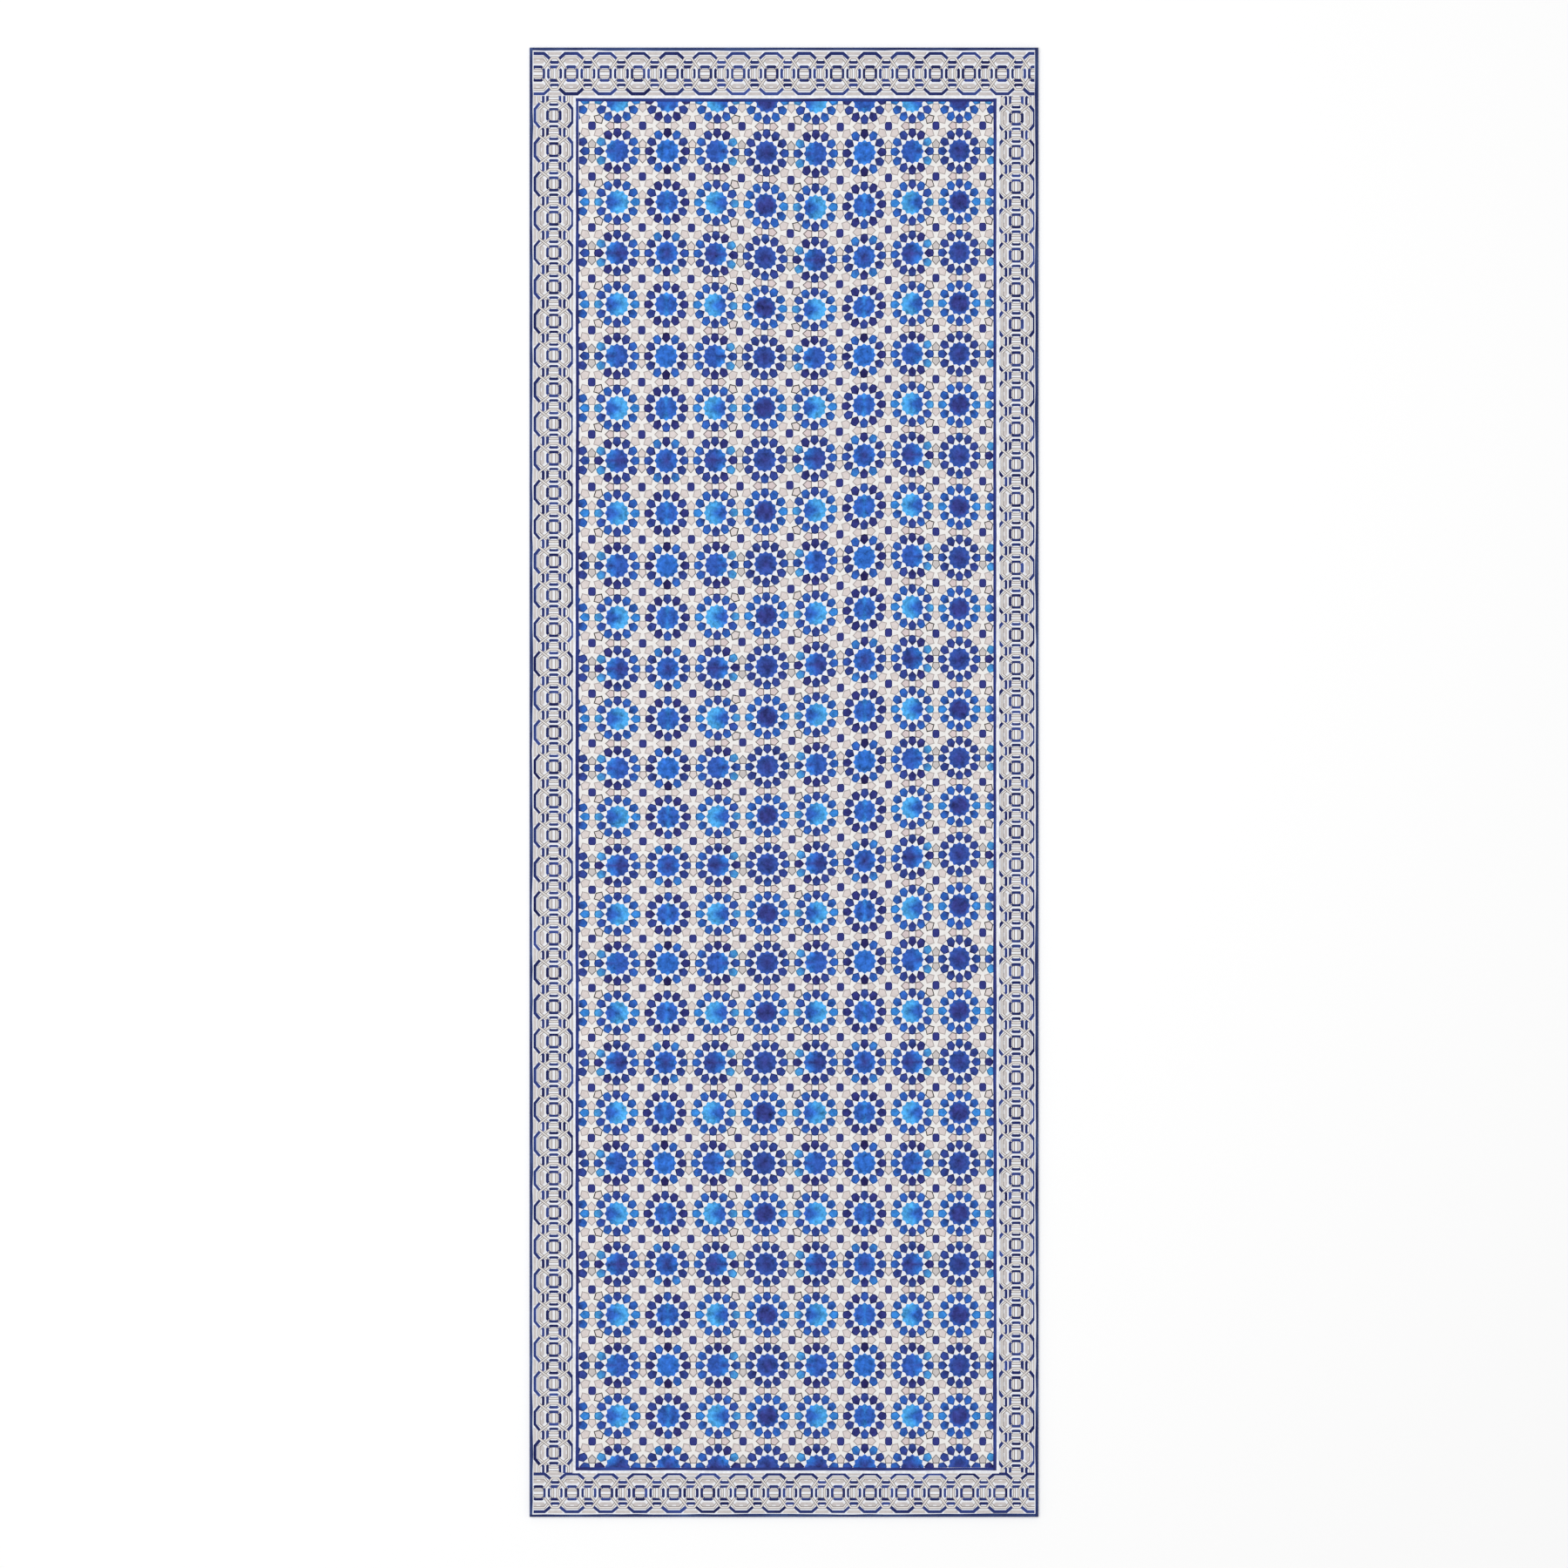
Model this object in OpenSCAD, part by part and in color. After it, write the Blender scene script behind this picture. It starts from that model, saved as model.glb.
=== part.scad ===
// Runner rug with a printed face cloth.
// The face cloth runs round all four edges and is turned under as a mitred hem.
// It holds a felt core and a backing cloth, and the backing carries rubber grip dots.
// Origin: middle of the underside. +Z up, +Y towards the head end, X across the runner.

/* [Rug] */
// Finished width across the runner
rug_w = 686; // [560:1:900]
// Finished length from the foot end to the head end
rug_l = 1981; // [1500:1:3600]

/* [Face cloth] */
// Thickness of the printed face cloth, pile included
face_t = 1.9; // [1.4:0.1:3]
// Thickness of the cloth where it lies under the rug and its pile is pressed flat
hem_t = 1.2; // [0.8:0.1:2]
// Width of the hem that is turned under
hem_w = 25; // [18:1:50]
// Thickness of cloth left in the turn, outside the core
turn_t = 2.2; // [1.8:0.1:3]
// Gap along the mitre at each corner of the hem
mitre_gap = 0.6; // [0.2:0.1:1.5]

/* [Felt core] */
// Thickness of the needled felt inside
core_t = 2.3; // [1.5:0.1:5]

/* [Backing] */
// Thickness of the backing cloth
backing_t = 0.6; // [0.4:0.1:1.2]

/* [Grip dots] */
// Diameter of a rubber dot
dot_d = 4.5; // [2:0.5:8]
// Distance between the dots in both directions
dot_pitch = 12.5; // [10:0.5:20]
// Only every so many dots in each direction are built as solids
dot_every = 4; // [3:1:8]
// Clear strip between the hem and the first dots
dot_margin = 10; // [4:1:30]

/* [Hem stitching] */
// Thickness of the sewing thread
thread_d = 0.6; // [0.4:0.1:0.9]
// Distance of the stitch line from the rug's edge
stitch_inset = 18; // [10:1:24]

/* [Hidden] */
$fn = 32;

// Whole thickness, and the radius of the soft turn at the edge
rug_t = hem_t + backing_t + core_t + face_t;
edge_r = rug_t / 2;

// The pocket inside the face cloth, and a little room round what lies in it
pocket_w = rug_w - 2 * turn_t;
pocket_l = rug_l - 2 * turn_t;
side_room = 0.1;

// The opening inside the hem, on the underside
open_w = rug_w - 2 * hem_w;
open_l = rug_l - 2 * hem_w;

// The grid of dots that are built
grid_step = dot_pitch * dot_every;
dots_across = floor((open_w - 2 * dot_margin - dot_d) / grid_step);
dots_along = floor((open_l - 2 * dot_margin - dot_d) / grid_step);

// The needle's groove in the hem, which the thread is pulled into
groove_w = thread_d + 0.2;
groove_t = thread_d + 0.3;
thread_z = 0.15;

// Length of the side and end stitch lines, each stopping short of the crossing one
side_stitch_l = rug_l - 2 * (stitch_inset + groove_w);
end_stitch_l = rug_w - 2 * (stitch_inset + groove_w);

eps = 1;

// A block centred in plan, standing on height z
module slab(w, l, t, z = 0) {
    translate([-w / 2, -l / 2, z]) cube([w, l, t]);
}

// The rug's cross-section, w wide: a strip of cloth whose two ends are half-round
module cross_section(w) {
    square([w - rug_t, rug_t], center = true);
    for (side = [-1, 1]) translate([side * (w - rug_t) / 2, 0]) circle(r = edge_r);
}

// The outside of the rug: the section across it and the section along it, crossed
module rounded_outside() {
    translate([0, 0, edge_r])
        intersection() {
            rotate([90, 0, 0])
                linear_extrude(height = rug_l, center = true) cross_section(rug_w);
            rotate([90, 0, 90])
                linear_extrude(height = rug_w, center = true) cross_section(rug_l);
        }
}

// The four slits where the hem's mitred corners meet
module mitre_slits() {
    slit_l = hem_w * sqrt(2);
    for (side = [-1, 1], end = [-1, 1])
        translate([side * (rug_w - hem_w) / 2, end * (rug_l - hem_w) / 2, 0])
            rotate([0, 0, side * end * 45])
                slab(slit_l, mitre_gap, hem_t + eps, -eps);
}

// The grooves of the four stitch lines
module stitch_grooves() {
    for (side = [-1, 1]) {
        translate([side * (rug_w / 2 - stitch_inset), 0, 0])
            slab(groove_w, side_stitch_l, groove_t + eps, -eps);
        translate([0, side * (rug_l / 2 - stitch_inset), 0])
            slab(end_stitch_l, groove_w, groove_t + eps, -eps);
    }
}

// Printed low-pile cloth with its hem turned under on all four sides
module face_cloth() {
    color("#8891bd")
        difference() {
            rounded_outside();
            slab(pocket_w, pocket_l, backing_t + core_t, hem_t);
            slab(open_w, open_l, hem_t + eps, -eps);
            mitre_slits();
            stitch_grooves();
        }
}

// Needled felt that gives the rug its body
module felt_core() {
    color("#a9a6a1")
        slab(pocket_w - 2 * side_room, pocket_l - 2 * side_room, core_t, hem_t + backing_t);
}

// Woven backing cloth, held under the hem
module backing_cloth() {
    color("#e9e4d8")
        slab(pocket_w - 2 * side_room, pocket_l - 2 * side_room, backing_t, hem_t);
}

// Rubber dots moulded onto the backing, level with the underside of the hem
module grip_dots() {
    color("#d9d4c6")
        for (i = [0 : dots_across], j = [0 : dots_along])
            translate([(i - dots_across / 2) * grid_step, (j - dots_along / 2) * grid_step, 0])
                cylinder(h = hem_t, d = dot_d);
}

// One straight line of hem stitching, across or along the rug
module stitch_line(across, along) {
    color("#f3efe6") slab(across, along, thread_d, thread_z);
}

module hem_stitch_left() {
    translate([-rug_w / 2 + stitch_inset, 0, 0]) stitch_line(thread_d, side_stitch_l);
}

module hem_stitch_right() {
    translate([rug_w / 2 - stitch_inset, 0, 0]) stitch_line(thread_d, side_stitch_l);
}

module hem_stitch_head() {
    translate([0, rug_l / 2 - stitch_inset, 0]) stitch_line(end_stitch_l, thread_d);
}

module hem_stitch_foot() {
    translate([0, -rug_l / 2 + stitch_inset, 0]) stitch_line(end_stitch_l, thread_d);
}

face_cloth();
felt_core();
backing_cloth();
grip_dots();
hem_stitch_left();
hem_stitch_right();
hem_stitch_head();
hem_stitch_foot();
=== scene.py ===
"""Visual model of a printed runner rug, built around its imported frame.

The rug is a printed low-pile face cloth with its hem turned under, a needled felt core, a woven
backing cloth with moulded rubber dots, and four lines of hem stitching. The print is a hand-painted
tile pattern: rosettes between small octagons, framed by a border of interlaced octagons.
It is drawn as tiles laid over each other in painter's order and then cut into one flat mesh, so
every colour edge of the print is an edge of the cloth's own mesh. Lengths in the print are in
millimetres, with X across the runner and Y towards its head end.
"""

import logging
import math
import random
from collections.abc import Callable, Iterable, Sequence
from dataclasses import dataclass, field
from enum import Enum

import bpy
import numpy as np
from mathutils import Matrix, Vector
from mathutils.bvhtree import BVHTree
from mathutils.geometry import delaunay_2d_cdt


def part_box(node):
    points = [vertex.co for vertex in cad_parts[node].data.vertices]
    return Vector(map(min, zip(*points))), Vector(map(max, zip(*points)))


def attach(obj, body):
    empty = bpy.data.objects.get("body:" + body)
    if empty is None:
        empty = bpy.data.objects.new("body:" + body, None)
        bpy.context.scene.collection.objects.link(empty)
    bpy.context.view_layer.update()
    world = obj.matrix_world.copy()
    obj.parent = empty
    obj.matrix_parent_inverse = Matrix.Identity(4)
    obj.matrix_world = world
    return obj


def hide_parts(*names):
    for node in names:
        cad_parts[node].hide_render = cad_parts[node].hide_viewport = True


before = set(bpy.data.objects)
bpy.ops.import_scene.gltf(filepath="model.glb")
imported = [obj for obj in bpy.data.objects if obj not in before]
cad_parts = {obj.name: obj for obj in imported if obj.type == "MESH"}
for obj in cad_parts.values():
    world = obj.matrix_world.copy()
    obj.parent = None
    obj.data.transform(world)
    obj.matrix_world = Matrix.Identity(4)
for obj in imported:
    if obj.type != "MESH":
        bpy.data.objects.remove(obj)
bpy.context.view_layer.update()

MM = 0.001
ROOT = "root"
SEED = 27

Point = tuple[float, float]
Colour = tuple[float, float, float]
Paint = Callable[[float, float], Colour]

log = logging.getLogger("runner_rug")


# ---------------------------------------------------------------- colours


def linear(hex_code: str) -> Colour:
    """Turns an sRGB hex colour into linear values.

    Args:
        hex_code: Six hex digits after a hash sign.

    Returns:
        Red, green and blue, linear, from 0 to 1.
    """
    parts = [int(hex_code[i:i + 2], 16) / 255 for i in (1, 3, 5)]
    r, g, b = (c / 12.92 if c <= 0.04045 else ((c + 0.055) / 1.055) ** 2.4 for c in parts)
    return r, g, b


def blend(a: Colour, b: Colour, share: float) -> Colour:
    """Mixes two linear colours.

    Args:
        a: The colour at share 0.
        b: The colour at share 1.
        share: How much of b, held between 0 and 1.

    Returns:
        The mixed colour.
    """
    t = min(max(share, 0.0), 1.0)
    return tuple(p + (q - p) * t for p, q in zip(a, b, strict=True))


class Dye(Enum):
    """The print's dyes, as they look on the finished pile. A letter names each one in a chart."""

    INK = ("k", "#2a2860")
    NAVY = ("n", "#383f89")
    INDIGO = ("i", "#374e9e")
    BLUE = ("b", "#355db7")
    ROYAL = ("r", "#346fce")
    AZURE = ("a", "#3c8ade")
    CYAN = ("c", "#4fa9ec")
    SLATE = ("s", "#4a5e90")
    CREAM = ("w", "#f5f3f1")
    SNOW = ("v", "#f3f5fa")
    SAND = ("x", "#e3d9d7")
    ROSE = ("y", "#dfd0d1")
    STONE = ("z", "#d0cac9")
    STRAP_EDGE = ("t", "#8c8482")
    STRAP = ("u", "#ebe7e4")
    LINE_DARK = ("l", "#1f2458")
    LINE_PALE = ("p", "#43569f")

    def __init__(self, letter: str, hex_code: str) -> None:
        """Keeps the chart letter and the linear colour."""
        self.letter = letter
        self.colour = linear(hex_code)


DYE_OF = {dye.letter: dye.colour for dye in Dye}


def plain(dye: Dye) -> Paint:
    """Gives a paint of one dye all over."""
    return lambda x, y: dye.colour


# ---------------------------------------------------------------- plane geometry


def ribbon(line: Sequence[Point], width: float) -> list[Point]:
    """Widens a broken line into the outline of a band with mitred corners.

    Args:
        line: The band's middle line, two or more points.
        width: The band's width.

    Returns:
        The outline, down one side and back up the other.
    """
    points = [Vector(p) for p in line]
    ways = [(q - p).normalized() for p, q in zip(points, points[1:])]
    sides: tuple[list[Point], list[Point]] = ([], [])
    for i, point in enumerate(points):
        before, after = ways[max(i - 1, 0)], ways[min(i, len(ways) - 1)]
        normal = Vector((-before.y - after.y, before.x + after.x)).normalized()
        reach = width / 2 / max(normal.dot(Vector((-after.y, after.x))), 0.5)
        for side, sign in zip(sides, (1, -1), strict=True):
            side.append(tuple(point + normal * reach * sign))
    return sides[0] + sides[1][::-1]


def distance_to(outline: Sequence[Point], x: float, y: float) -> float:
    """Measures how far a point is from a closed outline.

    Args:
        outline: The outline's corners.
        x: The point's X.
        y: The point's Y.

    Returns:
        The shortest distance to any of its sides.
    """
    best = math.inf
    ax, ay = outline[-1]
    for bx, by in outline:
        dx, dy = bx - ax, by - ay
        along = ((x - ax) * dx + (y - ay) * dy) / (dx * dx + dy * dy + 1e-12)
        t = min(max(along, 0.0), 1.0)
        best = min(best, math.hypot(x - ax - t * dx, y - ay - t * dy))
        ax, ay = bx, by
    return best


def anticlockwise(outline: Sequence[Point]) -> list[Point]:
    """Gives an outline's corners in anticlockwise order."""
    area = sum(a[0] * b[1] - a[1] * b[0] for a, b in sides_of(outline))
    return list(outline) if area > 0 else list(outline)[::-1]


def rectangle(half_w: float, half_l: float) -> list[Point]:
    """Gives the corners of a rectangle centred on the rug, anticlockwise."""
    return [(half_w, half_l), (-half_w, half_l), (-half_w, -half_l), (half_w, -half_l)]


def sides_of(outline: Sequence[Point]) -> list[tuple[Point, Point]]:
    """Lists a closed outline's sides."""
    return list(zip(outline, [*outline[1:], outline[0]], strict=True))


# ---------------------------------------------------------------- the print's layout


@dataclass(frozen=True)
class Creep:
    """A place where the print has crept on the cloth: a smooth hump over a lattice or a chain.

    It is worth shift millimetres at its middle and dies away over its reach, in lattice steps.
    """

    shift: float
    col: float
    row: float
    reach_cols: float
    reach_rows: float

    def at(self, col: float, row: float) -> float:
        """Gives the shift at a place on the lattice.

        Args:
            col: Lattice column, 0 in the middle of the rug, or a chain's step.
            row: Lattice row, 0 at the head end, or 0 on a chain.

        Returns:
            The shift in millimetres.
        """
        across = (col - self.col) / self.reach_cols
        along = (row - self.row) / self.reach_rows
        return self.shift * math.exp(-across * across - along * along)


@dataclass(frozen=True)
class Lattice:
    """The lattice of small octagons that the field's pattern hangs on."""

    pitch_x: float = 65.8
    pitch_y: float = 68.2
    middle_x: float = 11.0
    first_row_y: float = 885.0
    narrowing: float = 0.4
    creep_x: tuple[Creep, ...] = (
        Creep(-5.0, -1.0, 5.0, 2.0, 4.5),
        Creep(-7.0, -1.5, 20.0, 1.8, 2.5),
    )
    creep_y: tuple[Creep, ...] = (
        Creep(-16.0, -3.0, 10.5, 5.5, 5.0),
        Creep(6.0, 2.0, 9.0, 1.0, 4.0),
        Creep(-10.0, 0.5, 2.5, 1.5, 2.0),
        Creep(9.0, 3.5, 14.5, 1.5, 2.0),
    )

    def place(self, col: float, row: float) -> Point:
        """Finds where a lattice place lies on the cloth.

        Args:
            col: Column, 0 in the middle of the rug, whole numbers on octagon centres.
            row: Row, 0 at the head end, whole numbers on octagon centres.

        Returns:
            X and Y on the cloth, in millimetres.
        """
        x = self.middle_x + self.pitch_x * col - self.narrowing * col * col
        y = self.first_row_y - self.pitch_y * row
        x += sum(hump.at(col, row) for hump in self.creep_x)
        y += sum(hump.at(col, row) for hump in self.creep_y)
        return x, y


class Kind(Enum):
    """The three rosette columns that repeat across the field."""

    LIVELY = "a"
    BRIGHT = "b"
    DEEP = "d"


@dataclass(frozen=True)
class RosetteDyes:
    """One rosette's dye chart.

    Each string of twelve letters runs anticlockwise in steps of 30 degrees from the right.
    heart is the star's middle, ring is half way out and rim its points. tips are the inner ends
    of the petals and outers their outer ends.
    """

    heart: str
    ring: str
    rim: str
    tips: str
    outers: str

    def turned(self, mirrored: bool, flipped: bool) -> "RosetteDyes":
        """Gives the same rosette mirrored left to right, upside down, or both.

        Args:
            mirrored: Whether left and right change places.
            flipped: Whether head and foot change places.

        Returns:
            The turned chart.
        """
        order = [(6 - k if mirrored else k) * (-1 if flipped else 1) % 12 for k in range(12)]
        charts = (self.ring, self.rim, self.tips, self.outers)
        return RosetteDyes(self.heart, *("".join(chart[k] for k in order) for chart in charts))


# The charts give a letter for each dye. Row types run A, B, C, B down the rug,
# and the fourth is the second upside down.
ROSETTES: dict[tuple[str, Kind], RosetteDyes] = {
    ("A", Kind.BRIGHT): RosetteDyes("r", "rrrrrrrrrrrr", "rarararararr", "kkikikkkikik", "nirkrinirkri"),
    ("A", Kind.LIVELY): RosetteDyes("b", "irrbbbbbbbrr", "baabbbbbbbaa", "kikknninnkki", "bcnnirrrinnc"),
    ("A", Kind.DEEP): RosetteDyes("n", "iiiiiiiiiiii", "bbbbbbbbbbbb", "kkknknkkknkn", "biiiiibiiiii"),
    ("B", Kind.BRIGHT): RosetteDyes("r", "bbbabbbbbabb", "rrrarrrrrarr", "knknknknkikn", "nininininbni"),
    ("B", Kind.LIVELY): RosetteDyes("r", "bbacccccccab", "bracccccccar", "innnikakinnn", "cbrirrarrirb"),
    ("B", Kind.DEEP): RosetteDyes("n", "nnnninnnnnin", "brbrbrbrbrbr", "akbnbkakbnbk", "arrbrrarrbrr"),
    ("C", Kind.BRIGHT): RosetteDyes("n", "rbbbbbrbbbbb", "rrrrrrrrrrrr", "nkikiknkikik", "bianaibianai"),
    ("C", Kind.LIVELY): RosetteDyes("n", "irrbiiniibrr", "baabbbibbbaa", "kikknninnkki", "ncniirriiinc"),
    ("C", Kind.DEEP): RosetteDyes("n", "iiiiiiiiiiii", "bbbbbbbbbbbb", "nnnknnnnnknn", "biibiibiibii"),
}


# ---------------------------------------------------------------- tiles and how they are cut


@dataclass
class Tile:
    """One patch of the print.

    Attributes:
        outline: Its corners, in order.
        paint: The dye at any place on it.
        wash: How strongly the watercolour mottling shows.
        outlined: How dark the line that runs round it is.
        heart: A point inside it, for a tile whose line fades towards the middle.
        seed: Which mottling it has, where it shares one with its neighbours.
    """

    outline: list[Point]
    paint: Paint
    wash: float = 0.1
    outlined: float = 0.0
    heart: Point | None = None
    seed: float | None = None

    def rim(self, x: float, y: float) -> float:
        """Says how near a point is to the outline.

        Args:
            x: The point's X.
            y: The point's Y.

        Returns:
            1 on the outline, down to 0 at the heart.
        """
        if self.heart is None:
            return 0.0
        return 1.0 - min(distance_to(self.outline, x, y) / distance_to(self.outline, *self.heart), 1.0)


@dataclass
class FlatCut:
    """A flat area cut into triangles: its points, and each triangle's corners and top tile."""

    points: np.ndarray
    triangles: np.ndarray
    owners: np.ndarray


def cut_all(tiles: Sequence[Tile], lines: Sequence[tuple[Point, Point]]) -> tuple[FlatCut, dict[int, int]]:
    """Cuts tiles along every one of their edges, the hidden ones too.

    Args:
        tiles: The tiles, from the bottom up. The first one covers the whole area.
        lines: More lines that the mesh has edges along.

    Returns:
        The cut area, and which of its points are hearts, with the tile of each.
    """
    places: list[Point] = []
    faces: list[list[int]] = []
    hearts: dict[int, int] = {}
    for number, tile in enumerate(tiles):
        faces.append(list(range(len(places), len(places) + len(tile.outline))))
        places.extend(anticlockwise(tile.outline))
        if tile.heart is not None:
            hearts[len(places)] = number
            places.append(tile.heart)
    edges = []
    for start, end in lines:
        edges.append((len(places), len(places) + 1))
        places.extend((start, end))
    cut = delaunay_2d_cdt([Vector(p) for p in places], edges, faces, 1, 1e-4, True)
    inside = [(corners, owned) for corners, owned in zip(cut[2], cut[5], strict=True) if 0 in owned]
    area = FlatCut(
        np.array([tuple(p) for p in cut[0]]),
        np.array([corners for corners, _ in inside]),
        np.array([max(owned) for _, owned in inside]),
    )
    found = {i: hearts[k] for i, given in enumerate(cut[3]) for k in given if k in hearts}
    return area, found


def cut_flat(tiles: Sequence[Tile], lines: Sequence[tuple[Point, Point]]) -> FlatCut:
    """Cuts overlapping tiles into one flat mesh with only the edges that show.

    Args:
        tiles: The tiles, from the bottom up. The first one covers the whole area.
        lines: More lines that the mesh has edges along.

    Returns:
        The cut area, as far as the first tile reaches.
    """
    area, hearts = cut_all(tiles, lines)
    sides = np.sort(np.concatenate([area.triangles[:, [i, (i + 1) % 3]] for i in range(3)]), axis=1)
    edges, index, count = np.unique(sides, axis=0, return_inverse=True, return_counts=True)
    owner = np.tile(area.owners, 3)
    lowest, highest = np.full(len(edges), len(tiles)), np.full(len(edges), -1)
    np.minimum.at(lowest, index.ravel(), owner)
    np.maximum.at(highest, index.ravel(), owner)
    kept = edges[(count == 1) | (lowest != highest)]
    top = np.full(len(area.points), -1)
    np.maximum.at(top, area.triangles.ravel(), np.repeat(area.owners, 3))
    bare = [point for point, number in sorted(hearts.items()) if top[point] == number]
    used = np.unique(np.concatenate([kept.ravel(), np.array(bare, int)]))
    renumbered = {int(old): new for new, old in enumerate(used)}
    places = [Vector(area.points[i]) for i in used]
    pairs = [(renumbered[int(a)], renumbered[int(b)]) for a, b in kept]
    for start, end in lines:
        pairs.append((len(places), len(places) + 1))
        places.extend((Vector(start), Vector(end)))
    outline = list(range(len(places), len(places) + len(tiles[0].outline)))
    places.extend(Vector(p) for p in tiles[0].outline)
    cut = delaunay_2d_cdt(places, pairs, [outline], 1, 1e-4, True)
    points = np.array([tuple(p) for p in cut[0]])
    triangles = np.array([corners for corners, owned in zip(cut[2], cut[5], strict=True) if owned])
    tree = BVHTree.FromPolygons([(x, y, 0.0) for x, y in area.points], area.triangles.tolist())
    middles = points[triangles].mean(axis=1)
    below = [tree.ray_cast(Vector((x, y, 1.0)), Vector((0, 0, -1)))[2] for x, y in middles]
    return FlatCut(points, triangles, area.owners[np.array([k or 0 for k in below])])


# ---------------------------------------------------------------- the field


@dataclass(frozen=True)
class Field:
    """The rosettes, pentagons and octagons in the middle of the rug, each size in lattice steps."""

    lattice: Lattice = Lattice()
    first_col: int = -5
    last_col: int = 4
    last_row: int = 26
    star_tip: float = 0.247
    star_notch: float = 0.212
    star_ring: float = 0.145
    disc: float = 0.3458
    kite_wash: float = 0.12
    petal_heart: float = 0.365
    petal_end: tuple[Point, ...] = ((0.444, -0.065), (0.459, 0.0), (0.444, 0.065))
    octagon: tuple[Point, ...] = ((0.076, 0.048), (0.05, 0.084))
    arrow: tuple[Point, ...] = ((0.254, 0.0), (0.345, 0.087), (0.44, 0.067), (0.44, -0.067), (0.345, -0.087))
    slant: tuple[Point, ...] = (
        (0.071, 0.0625), (0.196, 0.035), (0.2267, 0.158), (0.148, 0.2267), (0.03, 0.196),
    )

    def spot(self, col: float, row: float, right: float, up: float) -> Point:
        """Finds the place at an offset from a lattice place, the offset in lattice steps."""
        return self.lattice.place(col + right, row - up)

    def round_spot(self, col: float, row: float, radius: float, degrees: float) -> Point:
        """Finds the place at a radius and an angle from a lattice place."""
        turn = math.radians(degrees)
        return self.spot(col, row, radius * math.cos(turn), radius * math.sin(turn))

    def kind(self, col: int) -> Kind:
        """Says which rosette stands in the column to the right of lattice column col."""
        return (Kind.LIVELY, Kind.BRIGHT, Kind.LIVELY, Kind.DEEP)[col % 4]

    def dyes(self, col: int, row: int) -> RosetteDyes:
        """Finds a rosette's dyes.

        Args:
            col: The lattice column to its left.
            row: The lattice row above it.

        Returns:
            Its chart, turned as it stands.
        """
        letter = "ABCB"[row % 4]
        return ROSETTES[letter, self.kind(col)].turned(mirrored=col % 4 == 0, flipped=row % 4 == 3)

    def rosette(self, col: int, row: int) -> list[Tile]:
        """Lays one rosette: a white disc, twelve petals and a star.

        Args:
            col: The lattice column to its left.
            row: The lattice row above it.

        Returns:
            Its tiles, from the bottom up.
        """
        x, y = col + 0.5, row + 0.5
        chart = self.dyes(col, row)
        disc = [self.round_spot(x, y, self.disc, 30 * k + 15) for k in range(12)]
        tiles = [Tile(disc, plain(Dye.SNOW), wash=self.kite_wash)]
        tiles += [self.petal_tile(x, y, k, chart) for k in range(12)]
        return tiles + self.star(x, y, chart)

    def petal_tile(self, x: float, y: float, k: int, chart: RosetteDyes) -> Tile:
        """Lays one petal, darkest at its inner end.

        Args:
            x: The rosette's middle, as a lattice column.
            y: The rosette's middle, as a lattice row.
            k: The petal's number, anticlockwise from the right.
            chart: The rosette's dyes.

        Returns:
            The petal.
        """
        turn = math.radians(30 * k)
        cos, sin = math.cos(turn), math.sin(turn)
        end = [self.spot(x, y, u * cos - v * sin, u * sin + v * cos) for u, v in self.petal_end]
        shoulders = [self.round_spot(x, y, self.disc, 30 * k + side) for side in (-15, 15)]
        outline = [self.round_spot(x, y, self.star_tip, 30 * k), shoulders[0], *end, shoulders[1]]
        tip, outer = outline[0], outline[3]
        dark, pale = DYE_OF[chart.tips[k]], DYE_OF[chart.outers[k]]
        length = math.dist(tip, outer)

        def paint(px: float, py: float) -> Colour:
            """Runs from the tip's dye to the outer end's."""
            return blend(dark, pale, (math.dist(tip, (px, py)) / length - 0.12) * 1.5)

        heart = self.round_spot(x, y, self.petal_heart, 30 * k)
        return Tile(outline, paint, wash=1.0, outlined=0.6, heart=heart)

    def star(self, x: float, y: float, chart: RosetteDyes) -> list[Tile]:
        """Lays a twelve-pointed star whose dye runs from its heart to its points.

        Args:
            x: The rosette's middle, as a lattice column.
            y: The rosette's middle, as a lattice row.
            chart: The rosette's dyes.

        Returns:
            Two tiles: the whole star, and over it the ring round its heart.
        """
        heart, tiles = self.lattice.place(x, y), []
        pitch = self.lattice.pitch_x

        def paint(px: float, py: float) -> Colour:
            """Runs from the heart through the ring to the points."""
            angle = math.degrees(math.atan2(py - heart[1], px - heart[0])) / 30
            k, share = math.floor(angle), angle - math.floor(angle)
            far = math.hypot(px - heart[0], py - heart[1]) / pitch
            ring = blend(DYE_OF[chart.ring[k % 12]], DYE_OF[chart.ring[(k + 1) % 12]], share)
            rim = blend(DYE_OF[chart.rim[k % 12]], DYE_OF[chart.rim[(k + 1) % 12]], share)
            if far < self.star_ring:
                return blend(DYE_OF[chart.heart], ring, far / self.star_ring)
            return blend(ring, rim, (far - self.star_ring) / (self.star_tip - self.star_ring))

        outline = []
        for k in range(12):
            outline.append(self.round_spot(x, y, self.star_tip, 30 * k))
            outline.append(self.round_spot(x, y, self.star_notch, 30 * k + 15))
        ring = [self.round_spot(x, y, self.star_ring, 30 * k) for k in range(12)]
        tiles.append(Tile(outline, paint, wash=1.5, seed=x))
        tiles.append(Tile(ring, paint, wash=1.5, heart=heart, seed=x))
        return tiles

    def octagon_tile(self, col: int, row: int) -> Tile:
        """Lays the small navy octagon on a lattice place."""
        quarter = [*self.octagon]
        corners = quarter + [(-u, v) for u, v in quarter[::-1]]
        corners += [(-u, -v) for u, v in corners]
        outline = [self.spot(col, row, u, v) for u, v in corners]
        return Tile(outline, plain(Dye.NAVY), wash=0.5, outlined=0.4, heart=self.lattice.place(col, row))

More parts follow.
